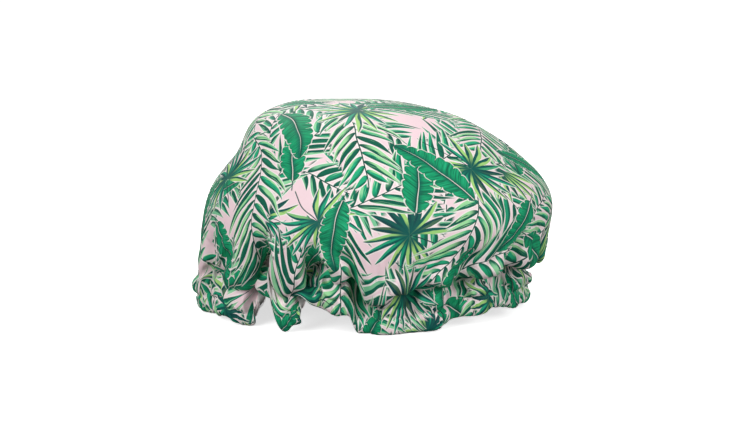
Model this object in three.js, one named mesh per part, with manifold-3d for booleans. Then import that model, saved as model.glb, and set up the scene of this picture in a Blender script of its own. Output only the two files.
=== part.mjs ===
// A shower cap, puffed out and standing on its hem.
// A round of printed fabric lies over a round of waterproof lining. The two are sewn together round the edge, and
// the fabric's edge is turned in under the lining. One row of lockstitch above the edge closes a channel between
// them, and a flat elastic runs in it as a loop, its two ends lapped and sewn with a zigzag.
// Millimetres, +Z up. -Y is the side that shows the print, +X the side where the hem stands higher.
import * as THREE from "three";
import { mergeVertices } from "three/addons/utils/BufferGeometryUtils.js";
import Module from "manifold-3d";

const wasm = await Module();
wasm.setup();

// The puffed form, measured from the middle of the crown to each side.
const crownHeight = 168;
const rightReach = 157.4;
const leftReach = 133.4;
const frontReach = 127;
const backReach = 130;

// The gathered hem: how far its highest arch lifts and how deep the folds are.
const archLift = 27;
const mainFoldDepth = 13;
const rippleDepth = 1.5;
const flatDepth = 0.5;

// The two layers and the room between pieces that touch.
const outerThickness = 0.9;
const liningThickness = 0.7;
const layerGap = 0.3;
const liningEdgeGap = 0.8;

// The elastic, its channel and the threads.
const elasticWidth = 8;
const elasticThickness = 1;
const threadDiameter = 0.6;
const turnedEdgeHeight = 1.4;
const elasticHeadroom = 3.5;
const zigzagLength = 14;
const zigzagWidth = 5;

// How finely the pieces are divided, and how many folds and stitches they have.
const stepsRound = 58;
const lapStartStep = 14;
const ripples = 13;
const zigzagPoints = 9;

// Outlines from the middle of the crown down to the hem: share of the side's reach, share of the crown's height.
const outlineShares = {
  right: [
    [0, 1], [0.2, 0.995], [0.52, 0.937], [0.81, 0.759], [0.96, 0.609], [1, 0.489],
    [0.972, 0.324], [0.91, 0.21], [0.868, 0.15], [0.87, 0],
  ],
  left: [
    [0, 1], [0.25, 1.006], [0.465, 0.991], [0.65, 0.913], [0.772, 0.765], [0.915, 0.569],
    [0.971, 0.408], [0.967, 0.272], [1, 0.147], [0.985, 0],
  ],
  front: [
    [0, 1], [0.236, 0.995], [0.457, 0.961], [0.66, 0.884], [0.82, 0.771], [0.937, 0.628],
    [1, 0.457], [0.953, 0.272], [0.868, 0.173], [0.88, 0],
  ],
  back: [
    [0, 1], [0.23, 0.997], [0.446, 0.973], [0.646, 0.902], [0.808, 0.795], [0.93, 0.652],
    [1, 0.457], [0.97, 0.294], [0.885, 0.177], [0.89, 0],
  ],
};

// Where the hem stands and where it lifts: share of a turn from +X towards +Y, share of the highest arch.
const hemLiftShares = [
  [0, 0.41], [0.08, 0.3], [0.17, 0], [0.3, 0], [0.38, 0.18], [0.46, 0.04], [0.53, 0], [0.57, 0.06], [0.598, 0.2],
  [0.62, 0.05], [0.65, 1], [0.68, 0.2], [0.705, 0.8], [0.735, 0.62], [0.765, 0.12], [0.79, 0.05], [0.82, 0.15],
  [0.86, 0.38], [0.9, 0.45], [0.96, 0.43],
];

// The valleys that run up from the gathers: share of a turn, half their width as a share of a turn, share of the
// main folds' depth, and share of the way down at which they begin.
const mainFoldShares = [
  [0.03, 0.02, 0.5, 0.7], [0.1, 0.022, 0.75, 0.62], [0.19, 0.02, 0.5, 0.74], [0.27, 0.024, 0.85, 0.66],
  [0.35, 0.02, 0.5, 0.75], [0.43, 0.022, 0.8, 0.64], [0.5, 0.016, 0.45, 0.74], [0.565, 0.016, 0.5, 0.7],
  [0.645, 0.016, 1, 0.6], [0.703, 0.011, 0.6, 0.74], [0.752, 0.012, 0.6, 0.76], [0.8, 0.014, 0.35, 0.72],
  [0.845, 0.018, 0.8, 0.68], [0.9, 0.016, 0.55, 0.74], [0.96, 0.018, 0.6, 0.72],
];
const foldFullShare = 0.9;

// Shares of the way from the crown down to the stitch row at which the layers have a ring of points.
const ringShares = [0.14, 0.28, 0.44, 0.6, 0.74, 0.84, 0.925];
const liftStartShare = 0.55;
const rippleStartShare = 0.5;
const ripplePhaseShare = 0.15;

// Where the points crowd together round the cap, and by how much, because the hem's arches are narrow there.
const crowdPlaceShare = 0.67;
const crowdShare = 0.4;

const fullTurn = 2 * Math.PI;
const threadRadius = threadDiameter / 2;

/** The smooth outline of one side, as reach against height. */
function outlineCurve(shares, reach) {
  return new THREE.CatmullRomCurve3(
    shares.map(([out, up]) => new THREE.Vector3(out * reach, up * crownHeight - (1 - up) * flatDepth, 0)),
  );
}

const outlines = {
  right: outlineCurve(outlineShares.right, rightReach),
  left: outlineCurve(outlineShares.left, leftReach),
  front: outlineCurve(outlineShares.front, frontReach),
  back: outlineCurve(outlineShares.back, backReach),
};
const outlineLengths = Object.values(outlines).map((curve) => curve.getLength());
const clothRadius = outlineLengths.reduce((sum, length) => sum + length, 0) / outlineLengths.length;

// Heights above the hem's edge, along the fabric, and depths in from the printed face.
const edgeSeamUp = turnedEdgeHeight + layerGap + threadRadius;
const elasticBottom = edgeSeamUp + threadRadius + layerGap;
const elasticTop = elasticBottom + elasticWidth;
const stitchUp = elasticTop + elasticHeadroom;
const stitchThreadUp = stitchUp + threadDiameter;
const joinInset = outerThickness + layerGap + threadRadius;
const outerLapInset = joinInset + threadRadius + layerGap;
const innerLapInset = outerLapInset + elasticThickness + layerGap;
const channelInset = innerLapInset + elasticThickness + layerGap;
const pinchedInset = outerThickness + layerGap;

/** The share of the way from the crown to the edge at a height above the edge. */
function shareAtHeight(up) {
  return 1 - up / clothRadius;
}

/** A value that rises smoothly from 0 at start to 1 at end. */
function ease(start, end, value) {
  return THREE.MathUtils.smoothstep(value, start, end);
}

/** How far the hem is lifted at a share of a turn. */
function liftAt(turn) {
  const wrapped = THREE.MathUtils.euclideanModulo(turn, 1);
  const after = hemLiftShares.findIndex(([place]) => place > wrapped);
  const [endPlace, endShare] = after < 0 ? [1, hemLiftShares[0][1]] : hemLiftShares[after];
  const [startPlace, startShare] = hemLiftShares.at(after < 0 ? -1 : after - 1);
  const along = ease(startPlace, endPlace, wrapped);
  return archLift * THREE.MathUtils.lerp(startShare, endShare, along);
}

/** How far the folds stand in, or the ripples out, at a share of a turn and a share of the way down. */
function foldAt(turn, share) {
  const ripple = Math.sin(fullTurn * (ripples * turn + ripplePhaseShare)) * ease(rippleStartShare, 1, share);
  const valleys = mainFoldShares.map(([place, width, depth, start]) => {
    const away = THREE.MathUtils.euclideanModulo(turn - place + 0.5, 1) - 0.5;
    return depth * Math.exp(-((away / width) ** 2)) * ease(start, foldFullShare, share);
  });
  return rippleDepth * ripple - mainFoldDepth * valleys.reduce((sum, depth) => sum + depth, 0);
}

/** The printed face of the cap at a share of a turn and a share of the way down. */
function faceAt(turn, share) {
  const across = Math.cos(fullTurn * turn);
  const deep = Math.sin(fullTurn * turn);
  const side = outlines[across >= 0 ? "right" : "left"].getPointAt(share);
  const front = outlines[deep >= 0 ? "back" : "front"].getPointAt(share);
  const fold = foldAt(turn, share);
  const lift = liftAt(turn) * ease(liftStartShare, shareAtHeight(stitchUp), share);
  return new THREE.Vector3(
    (side.x + fold) * across,
    (front.x + fold) * deep,
    side.y * across * across + front.y * deep * deep + lift,
  );
}

/** The way out of the printed face at a point of it. */
function outwardAt(turn, share) {
  const nearShare = 1e-3;
  const lower = Math.min(share + nearShare, 1);
  const down = faceAt(turn, lower).sub(faceAt(turn, lower - nearShare));
  const round = faceAt(turn + nearShare, share).sub(faceAt(turn - nearShare, share));
  return down.cross(round).normalize();
}

const crown = new THREE.Vector3(0, 0, crownHeight);
const placesKnown = new Map();

/** The share of a turn at which a ring step lies. */
function turnAtStep(step) {
  const even = THREE.MathUtils.euclideanModulo(step, stepsRound) / stepsRound;
  return even - (crowdShare / fullTurn) * Math.sin(fullTurn * (even - crowdPlaceShare));
}

/** A point on one of the ring steps, so far in from the printed face. */
function stepPoint(step, share, inset) {
  const turn = turnAtStep(step);
  const key = `${turn} ${share}`;
  if (!placesKnown.has(key)) placesKnown.set(key, [faceAt(turn, share), outwardAt(turn, share)]);
  const [face, outward] = placesKnown.get(key);
  return face.clone().addScaledVector(outward, -inset);
}

/** A point at any place round the hem, on the flat facet between two ring steps. */
function facetPoint(step, share, inset) {
  const before = Math.floor(step);
  return stepPoint(before, share, inset).lerp(stepPoint(before + 1, share, inset), step - before);
}

/** A closed body through loops of points, in order: joined end to end, or with a flat fan over each end. */
function loftGeometry(loops, joined) {
  const size = loops[0].length;
  const points = loops.flat();
  const faces = [];
  const spans = joined ? loops.length : loops.length - 1;
  for (let loop = 0; loop < spans; loop += 1) {
    const here = loop * size;
    const next = ((loop + 1) % loops.length) * size;
    for (let corner = 0; corner < size; corner += 1) {
      const beside = (corner + 1) % size;
      faces.push(here + corner, next + corner, here + beside);
      faces.push(here + beside, next + corner, next + beside);
    }
  }
  if (!joined) {
    const last = (loops.length - 1) * size;
    for (let corner = 1; corner < size - 1; corner += 1) {
      faces.push(0, corner, corner + 1);
      faces.push(last, last + corner + 1, last + corner);
    }
  }
  return new THREE.BufferGeometry().setFromPoints(points).setIndex(faces);
}

/** A domed layer: rings of points down its outside, under its edge and up its inside, closed at the crown. */
function domeGeometry(stations, outerInset, innerInset) {
  const down = new THREE.Vector3(0, 0, -1);
  const points = [crown.clone().addScaledVector(down, outerInset)];
  for (const [share, inset] of stations) {
    for (let step = 0; step < stepsRound; step += 1) points.push(stepPoint(step, share, inset));
  }
  points.push(crown.clone().addScaledVector(down, innerInset));
  const last = points.length - 1;
  const faces = [];
  for (let step = 0; step < stepsRound; step += 1) {
    const beside = (step + 1) % stepsRound;
    faces.push(0, 1 + step, 1 + beside);
    for (let ring = 0; ring < stations.length - 1; ring += 1) {
      const here = 1 + ring * stepsRound;
      const next = here + stepsRound;
      const upward = stations[ring + 1][0] < stations[ring][0];
      if (upward) {
        faces.push(here + step, next + step, next + beside);
        faces.push(here + step, next + beside, here + beside);
      } else {
        faces.push(here + step, next + step, here + beside);
        faces.push(here + beside, next + step, next + beside);
      }
    }
    const bottom = 1 + (stations.length - 1) * stepsRound;
    faces.push(last, bottom + beside, bottom + step);
  }
  return new THREE.BufferGeometry().setFromPoints(points).setIndex(faces);
}

/** A closed mesh as a solid that can be cut. */
function solidOf(geometry) {
  const bare = geometry.clone();
  bare.deleteAttribute("normal");
  bare.deleteAttribute("uv");
  const merged = mergeVertices(bare);
  return new wasm.Manifold(
    new wasm.Mesh({
      numProp: 3,
      vertProperties: new Float32Array(merged.attributes.position.array),
      triVerts: new Uint32Array(merged.index.array),
    }),
  );
}

/** A cut solid as a mesh's geometry again. */
function geometryOf(solid) {
  const mesh = solid.getMesh();
  return new THREE.BufferGeometry()
    .setAttribute("position", new THREE.BufferAttribute(mesh.vertProperties, mesh.numProp))
    .setIndex(new THREE.BufferAttribute(mesh.triVerts, 1));
}

/** The part of a body above the surface that the cap stands on. */
function cutFlat(geometry) {
  const widest = 2 * (leftReach + rightReach);
  const ground = new THREE.BoxGeometry(widest, widest, crownHeight);
  ground.translate(0, 0, -crownHeight / 2);
  return geometryOf(solidOf(geometry).subtract(solidOf(ground)));
}

/** The rings of the domed part of a layer, from the crown down or from the stitch row up. */
function domeStations(inset, upward = false) {
  const rings = ringShares.map((share) => [share * shareAtHeight(stitchUp), inset]);
  return upward ? rings.reverse() : rings;
}

/** The printed fabric, with its edge turned in under the lining. */
function outerGeometry() {
  const edgeInset = channelInset + liningThickness;
  const stations = [
    ...domeStations(0),
    [shareAtHeight(stitchUp), 0],
    [1, 0],
    [1, edgeInset],
    [shareAtHeight(turnedEdgeHeight), edgeInset],
    [shareAtHeight(turnedEdgeHeight), outerThickness],
    [shareAtHeight(stitchUp), outerThickness],
    ...domeStations(outerThickness, true),
  ];
  return cutFlat(domeGeometry(stations, 0, outerThickness));
}

/** The lining, close under the fabric down to the stitch row and bowed in round the elastic below it. */
function liningGeometry() {
  const liningBottom = turnedEdgeHeight + liningEdgeGap;
  const stations = [
    ...domeStations(pinchedInset),
    [shareAtHeight(stitchUp), pinchedInset],
    [shareAtHeight(elasticTop), channelInset],
    [shareAtHeight(liningBottom), channelInset],
    [shareAtHeight(liningBottom), channelInset + liningThickness],
    [shareAtHeight(elasticTop), channelInset + liningThickness],
    [shareAtHeight(stitchUp), pinchedInset + liningThickness],
    ...domeStations(pinchedInset + liningThickness, true),
  ];
  return domeGeometry(stations, pinchedInset, pinchedInset + liningThickness);
}

/** The flat elastic: once round the channel, from the lap's inner layer out to its outer layer. */
function elasticGeometry() {
  const loops = [];
  for (let step = 0; step <= stepsRound + 1; step += 1) {
    const outwards = ease(1, stepsRound, step);
    const inset = THREE.MathUtils.lerp(innerLapInset, outerLapInset, outwards);
    const place = lapStartStep + step;
    loops.push([
      stepPoint(place, shareAtHeight(elasticTop), inset),
      stepPoint(place, shareAtHeight(elasticTop), inset + elasticThickness),
      stepPoint(place, shareAtHeight(elasticBottom), inset + elasticThickness),
      stepPoint(place, shareAtHeight(elasticBottom), inset),
    ]);
  }
  return loftGeometry(loops, false);
}

/** One thread that runs right round the cap at one height above the edge. */
function threadGeometry(up, inset) {
  const loops = [];
  for (let step = 0; step < stepsRound; step += 1) {
    loops.push([
      stepPoint(step, shareAtHeight(up + threadRadius), inset),
      stepPoint(step, shareAtHeight(up), inset + threadRadius),
      stepPoint(step, shareAtHeight(up - threadRadius), inset),
      stepPoint(step, shareAtHeight(up), inset - threadRadius),
    ]);
  }
  return loftGeometry(loops, true);
}

/** The zigzag that holds the elastic's lapped ends, on the outer face of the lap. */
function zigzagGeometry() {
  const lapLength = stepPoint(lapStartStep, 1, 0).distanceTo(stepPoint(lapStartStep + 1, 1, 0));
  const middleStep = lapStartStep + 0.5;
  const middleUp = (elasticBottom + elasticTop) / 2;
  const corners = Array.from({ length: zigzagPoints }, (_, index) => {
    const along = (index / (zigzagPoints - 1) - 0.5) * zigzagLength;
    const up = (index % 2 === 0 ? -0.5 : 0.5) * zigzagWidth;
    return new THREE.Vector2(along, up);
  });
  const loops = corners.map((corner, index) => {
    const before = corners[Math.max(index - 1, 0)];
    const after = corners[Math.min(index + 1, corners.length - 1)];
    const legBefore = corner.clone().sub(before).normalize();
    const legAfter = after.clone().sub(corner).normalize();
    const way = legBefore.clone().add(legAfter).normalize();
    const square = new THREE.Vector2(-way.y, way.x);
    const legSquare = legAfter.lengthSq() > 0 ? legAfter : legBefore;
    const reach = threadRadius / Math.abs(new THREE.Vector2(-legSquare.y, legSquare.x).dot(square));
    const sides = [square.clone().multiplyScalar(reach), square.clone().multiplyScalar(-reach)];
    const placed = (side, inset) => {
      const place = corner.clone().add(side);
      return facetPoint(middleStep + place.x / lapLength, shareAtHeight(middleUp + place.y), inset);
    };
    return [
      placed(sides[0], joinInset - threadRadius),
      placed(sides[0], joinInset + threadRadius),
      placed(sides[1], joinInset + threadRadius),
      placed(sides[1], joinInset - threadRadius),
    ];
  });
  return loftGeometry(loops, false);
}

/** A named piece with its own material. */
function piece(name, geometry, color, roughness) {
  const mesh = new THREE.Mesh(geometry, new THREE.MeshStandardMaterial({ color, roughness, metalness: 0 }));
  mesh.name = name;
  mesh.geometry.computeVertexNormals();
  return mesh;
}

const bobbinInset = pinchedInset + liningThickness + layerGap + threadRadius;
const needleInset = -layerGap - threadRadius;
const seamInset = outerThickness + layerGap + threadRadius;

const cap = new THREE.Group();
cap.name = "shower_cap";
cap.add(piece("outer_shell", outerGeometry(), 0xe9b9c4, 0.6));
cap.add(piece("waterproof_lining", liningGeometry(), 0xdedbd8, 0.45));
cap.add(piece("elastic_band", elasticGeometry(), 0xf4f2ee, 0.85));
cap.add(piece("elastic_join_stitches", zigzagGeometry(), 0xffffff, 0.7));
cap.add(piece("channel_needle_thread", threadGeometry(stitchThreadUp, needleInset), 0xe8c3cb, 0.6));
cap.add(piece("channel_bobbin_thread", threadGeometry(stitchThreadUp, bobbinInset), 0xf0ecea, 0.6));
cap.add(piece("edge_seam_thread", threadGeometry(edgeSeamUp, seamInset), 0xf0ecea, 0.6));

// The origin is the middle of the cap's box, on the surface that it stands on.
const middle = new THREE.Box3().setFromObject(cap).getCenter(new THREE.Vector3());
cap.position.set(-middle.x, -middle.y, 0);

export default cap;
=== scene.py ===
"""A bouffant shower cap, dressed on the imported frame.

The printed fabric and the waterproof lining are each one round of cloth. Both are laid on the
puffed form from flat rings, settled into folds, gathered towards the hem, and ruched over the
elastic in its channel. The print is a leaf pattern drawn by shader nodes in the flat cloth's own
millimetres, so it is squeezed where the cloth is gathered.

Three words say where something is on the cloth. A turn is a share of a turn round the cap, from
+X towards +Y. A share is a share of the way from the crown to the hem. Up is the distance above
the hem, along the cloth.

All sizes are in millimetres until a mesh is built. The row frame is in metres, with +Z up.
"""

import logging
import math
from dataclasses import dataclass, replace
from enum import Enum

import bpy
import numpy as np
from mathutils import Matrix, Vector

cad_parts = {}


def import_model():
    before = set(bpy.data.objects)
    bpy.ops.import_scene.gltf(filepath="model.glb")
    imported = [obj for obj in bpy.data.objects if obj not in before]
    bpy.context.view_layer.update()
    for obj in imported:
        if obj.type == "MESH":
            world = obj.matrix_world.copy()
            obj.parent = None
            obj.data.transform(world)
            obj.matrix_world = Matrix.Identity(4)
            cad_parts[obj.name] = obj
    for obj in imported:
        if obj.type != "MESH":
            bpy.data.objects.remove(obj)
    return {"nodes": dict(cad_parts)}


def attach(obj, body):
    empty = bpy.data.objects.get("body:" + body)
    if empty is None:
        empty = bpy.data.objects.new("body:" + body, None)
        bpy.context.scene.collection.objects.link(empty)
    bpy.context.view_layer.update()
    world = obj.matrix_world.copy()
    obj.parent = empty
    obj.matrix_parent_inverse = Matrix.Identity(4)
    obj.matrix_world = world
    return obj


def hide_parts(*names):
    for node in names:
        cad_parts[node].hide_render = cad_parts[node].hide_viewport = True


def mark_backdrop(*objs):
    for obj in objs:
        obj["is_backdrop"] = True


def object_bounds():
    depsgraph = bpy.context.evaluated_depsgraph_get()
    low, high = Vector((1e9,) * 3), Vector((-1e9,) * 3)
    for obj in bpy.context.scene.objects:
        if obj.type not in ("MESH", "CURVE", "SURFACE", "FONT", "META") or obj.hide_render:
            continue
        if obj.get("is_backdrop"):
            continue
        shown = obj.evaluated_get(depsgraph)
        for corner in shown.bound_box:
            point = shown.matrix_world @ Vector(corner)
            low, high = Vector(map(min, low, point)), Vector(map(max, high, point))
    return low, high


LOG = logging.getLogger("shower_cap")

# A millimetre in metres, a turn in radians, and a length too small to divide by.
METRES = 0.001
FULL_TURN = 2 * math.pi
TINY = 1e-9

# Every random draw starts from this number.
SEED = 20

# The UV map that holds each point's place on the flat cloth, and how many millimetres it spans.
CLOTH_UV = "flat_cloth"
CLOTH_UV_SPAN = 1000.0

Array = np.ndarray
Object = bpy.types.Object
Material = bpy.types.Material
Span = tuple[float, float]
Table = tuple[tuple[float, float], ...]
Faces = list[tuple[int, ...]]


def to_linear(hex_colour: str) -> tuple[float, float, float, float]:
    """Turns a written sRGB colour into the linear values that a shader takes.

    Args:
        hex_colour: Six hexadecimal digits after a hash.

    Returns:
        Red, green, blue and an alpha of 1.
    """
    parts = [int(hex_colour[i : i + 2], 16) / 255 for i in (1, 3, 5)]
    linear = [p / 12.92 if p <= 0.04045 else ((p + 0.055) / 1.055) ** 2.4 for p in parts]
    return (*linear, 1.0)


def ease(start: float, end: float, value: Array) -> Array:
    """Goes smoothly from 0 at start to 1 at end, which may be below start.

    Args:
        start: Where the rise begins.
        end: Where it is done.
        value: The places to work it out for.

    Returns:
        One number from 0 to 1 for each place.
    """
    t = np.clip((np.asarray(value, float) - start) / (end - start), 0, 1)
    return t * t * (3 - 2 * t)


def bell(value: Array, width: float | Array, sharpness: float = 2) -> Array:
    """A smooth bump: 1 where the value is 0, falling away on both sides.

    Args:
        value: The places to work it out for.
        width: How far out the bump is down to about a third.
        sharpness: How flat its top and how steep its sides are.

    Returns:
        One number from 0 to 1 for each place.
    """
    return np.exp(-(np.abs(value / width) ** sharpness))


def wrapped(turns: Array) -> Array:
    """Brings differences between places round the cap to half a turn at most, either way."""
    return np.mod(turns + 0.5, 1.0) - 0.5


def unit(vectors: Array) -> Array:
    """Brings vectors along the last axis to a length of 1."""
    return vectors / np.maximum(np.linalg.norm(vectors, axis=-1, keepdims=True), TINY)


def read_table(table: Table, place: Array) -> Array:
    """Reads a table of places and values, going straight from each row to the next."""
    return np.interp(place, *np.array(table).T)


@dataclass(frozen=True)
class Ripple:
    """A smooth random ripple round the cap, about -1 to 1 high, made of a few sines.

    Each sine has from fewest to most cycles in a turn. The salt tells one ripple from another.
    """

    fewest: int
    most: int
    sines: int
    salt: int

    def at(self, turn: Array, layer: int = 0) -> Array:
        """Sums the sines.

        Args:
            turn: Places round the cap.
            layer: Gives each layer of cloth a ripple of its own.

        Returns:
            The ripple's height at each place.
        """
        rng = np.random.default_rng(SEED + self.salt + layer)
        total = np.zeros(np.shape(turn))
        for _ in range(self.sines):
            cycles = rng.integers(self.fewest, self.most + 1)
            total += np.sin(FULL_TURN * (cycles * turn + rng.random())) / math.sqrt(self.sines)
        return total


class Side(Enum):
    """The four sides whose outlines give the puffed form."""

    RIGHT = "right"
    LEFT = "left"
    FRONT = "front"
    BACK = "back"


@dataclass(frozen=True)
class Outline:
    """One side's outline from the crown to the hem, as shares of its reach and of the height."""

    reach: float
    shares: Table

    def by_length(self, height: float, count: int = 400) -> tuple[Array, ...]:
        """Samples a smooth curve through the outline's points.

        Args:
            height: The crown's height.
            count: About how many samples there are in all.

        Returns:
            The share of the length, the reach and the height of each sample.
        """
        points = np.array(self.shares) * (self.reach, height)
        padded = np.vstack([2 * points[0] - points[1], points, 2 * points[-1] - points[-2]])
        steps = np.sqrt(np.linalg.norm(np.diff(padded, axis=0), axis=1))
        per_span = count // (len(points) - 1)
        t = np.linspace(0, 1, per_span, endpoint=False)[:, None]
        spans = []
        for i in range(1, len(points)):
            before, here, after, beyond = padded[i - 1 : i + 3]
            d0, d1, d2 = steps[i - 1 : i + 2]
            leave = (here - before) / d0 - (after - before) / (d0 + d1) + (after - here) / d1
            arrive = (after - here) / d1 - (beyond - here) / (d1 + d2) + (beyond - after) / d2
            leave, arrive = leave * d1, arrive * d1
            cubic = 2 * here - 2 * after + leave + arrive
            square = -3 * here + 3 * after - 2 * leave - arrive
            spans.append(here + leave * t + square * t**2 + cubic * t**3)
        line = np.vstack([*spans, points[-1]])
        steps = np.linalg.norm(np.diff(line, axis=0), axis=1)
        length = np.concatenate([[0], np.cumsum(steps)])
        return length / length[-1], line[:, 0], line[:, 1]

    def length(self, height: float) -> float:
        """The outline's length for a crown of that height."""
        _, out, up = self.by_length(height)
        return float(np.hypot(np.diff(out), np.diff(up)).sum())


@dataclass(frozen=True)
class Fold:
    """A main fold: its turn, its width in turns, its share of the depth and where it starts."""

    turn: float
    width: float
    depth: float
    start: float


RIGHT_SHARES = (
    (0, 1), (0.2, 0.99), (0.4, 0.955), (0.56, 0.905), (0.81, 0.755), (0.955, 0.62), (1, 0.5),
    (0.955, 0.34), (0.885, 0.225), (0.86, 0.15), (0.87, 0),
)
LEFT_SHARES = (
    (0, 1), (0.25, 1.006), (0.465, 0.991), (0.65, 0.913), (0.772, 0.743), (0.915, 0.585),
    (0.971, 0.408), (0.967, 0.272), (1, 0.147), (0.985, 0),
)
FRONT_SHARES = (
    (0, 1), (0.236, 0.995), (0.457, 0.961), (0.66, 0.884), (0.82, 0.771), (0.937, 0.628),
    (1, 0.457), (0.953, 0.272), (0.868, 0.173), (0.88, 0),
)
BACK_SHARES = (
    (0, 1), (0.23, 0.997), (0.446, 0.973), (0.646, 0.902), (0.808, 0.795), (0.93, 0.652),
    (1, 0.457), (0.97, 0.294), (0.885, 0.177), (0.89, 0),
)


@dataclass(frozen=True)
class CapForm:
    """The puffed form of the cap: its outlines, the hem's lifts and the main folds.

    The lifts are shares of the arch's, by turn. They come in between two shares of the way down.
    """

    pole: tuple[float, float]
    crown_height: float = 168.0
    arch_lift: float = 27.0
    main_fold_depth: float = 13.0
    outlines: tuple[tuple[Side, Outline], ...] = (
        (Side.RIGHT, Outline(157.4, RIGHT_SHARES)),
        (Side.LEFT, Outline(133.4, LEFT_SHARES)),
        (Side.FRONT, Outline(127.0, FRONT_SHARES)),
        (Side.BACK, Outline(130.0, BACK_SHARES)),
    )
    lift_shares: Table = (
        (0, 0.12), (0.08, 0.24), (0.17, 0), (0.3, 0), (0.38, 0.18), (0.46, 0.04), (0.53, 0),
        (0.57, 0.06), (0.598, 0.2), (0.631, 0.04), (0.6435, 0.6), (0.652, 0.72), (0.6605, 0.9),
        (0.665, 0.84), (0.675, 0.08), (0.69, 0.34), (0.704, 0.78), (0.739, 0.56), (0.75, 0.06),
        (0.79, 0), (0.82, 0.06), (0.86, 0.34), (0.9, 0.42), (0.95, 0.24),
    )
    folds: tuple[Fold, ...] = (
        Fold(0.03, 0.02, 0.5, 0.7), Fold(0.1, 0.022, 0.75, 0.62), Fold(0.19, 0.02, 0.5, 0.74),
        Fold(0.27, 0.024, 0.85, 0.66), Fold(0.35, 0.02, 0.5, 0.75), Fold(0.43, 0.022, 0.8, 0.64),
        Fold(0.5, 0.016, 0.45, 0.74), Fold(0.565, 0.016, 0.5, 0.7), Fold(0.645, 0.016, 1, 0.6),
        Fold(0.703, 0.011, 0.6, 0.74), Fold(0.752, 0.012, 0.6, 0.76), Fold(0.8, 0.014, 0.35, 0.72),
        Fold(0.845, 0.018, 0.8, 0.68), Fold(0.9, 0.016, 0.55, 0.74), Fold(0.96, 0.018, 0.6, 0.72),
    )
    fold_full_share: float = 0.9
    lift_span: Span = (0.55, 0.95)

    @classmethod
    def inside(cls, high: Vector) -> "CapForm":
        """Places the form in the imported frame.

        Args:
            high: The frame's highest corner, in metres.

        Returns:
            The form, with its pole as far in from that corner as its right and back reach.
        """
        reach = {side: line.reach for side, line in cls.outlines}
        across, deep = high.x / METRES - reach[Side.RIGHT], high.y / METRES - reach[Side.BACK]
        return cls(pole=(across, deep))

    def cloth_radius(self) -> float:
        """The radius of the flat round of cloth: the mean length of the outlines."""
        lengths = [line.length(self.crown_height) for _, line in self.outlines]
        return sum(lengths) / len(lengths)

    def lift(self, turn: Array) -> Array:
        """Says how far the hem stands off the surface.

        Args:
            turn: Places round the cap.

        Returns:
            The lift at each place, level at every row of the table and smooth between them.
        """
        places, shares = np.array(self.lift_shares).T
        places = np.append(places, 1.0)
        shares = np.append(shares, shares[0])
        within = np.mod(turn, 1.0)
        row = np.clip(np.searchsorted(places, within, side="right") - 1, 0, len(places) - 2)
        along = ease(0, 1, (within - places[row]) / (places[row + 1] - places[row]))
        return self.arch_lift * (shares[row] + (shares[row + 1] - shares[row]) * along)

    def valleys(self, turn: Array, share: Array) -> Array:
        """Says how far the main folds stand in.

        Args:
            turn: Places round the cap.
            share: Places down the cloth.

        Returns:
            The depth at each place.
        """
        depth = np.zeros(np.broadcast(turn, share).shape)
        for fold in self.folds:
            across = bell(wrapped(turn - fold.turn), fold.width)
            depth += fold.depth * across * ease(fold.start, self.fold_full_share, share)
        return self.main_fold_depth * depth

    def face(self, turn: Array, share: Array) -> Array:
        """Finds places on the form.

        Args:
            turn: Places round the cap.
            share: Places down the cloth.

        Returns:
            The point in the row frame, in millimetres, for each place.
        """
        across, deep = np.cos(FULL_TURN * turn), np.sin(FULL_TURN * turn)
        out_and_up = {}
        for side, line in self.outlines:
            along, out, up = line.by_length(self.crown_height)
            out_and_up[side] = np.array([np.interp(share, along, out), np.interp(share, along, up)])
        wide = np.where(across >= 0, out_and_up[Side.RIGHT], out_and_up[Side.LEFT])
        far = np.where(deep >= 0, out_and_up[Side.BACK], out_and_up[Side.FRONT])
        fold = self.valleys(turn, share)
        lift = self.lift(turn) * ease(*self.lift_span, share)
        x = self.pole[0] + (wide[0] - fold) * across
        y = self.pole[1] + (far[0] - fold) * deep
        return np.stack([x, y, wide[1] * across**2 + far[1] * deep**2 + lift], axis=-1)

    def outward(self, turn: Array, share: Array, near: float = 0.002) -> Array:
        """Finds the way out of the form.

        Args:
            turn: Places round the cap.
            share: Places down the cloth.
            near: How far off, in turns and in shares, the points lie that it is judged from.

        Returns:
            A unit vector for each place.
        """
        below, above = np.clip(share + near, near, 1.0), np.clip(share - near, near, 1.0)
        level = np.maximum(share, near)
        down = self.face(turn, below) - self.face(turn, above)
        turned = self.face(turn + near, level) - self.face(turn - near, level)
        return unit(np.cross(down, turned))

    def smooth_outward(self, turn: Array, share: Array) -> Array:
        """The way out as it would be without the main folds."""
        return replace(self, main_fold_depth=0.0).outward(turn, share)


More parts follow.
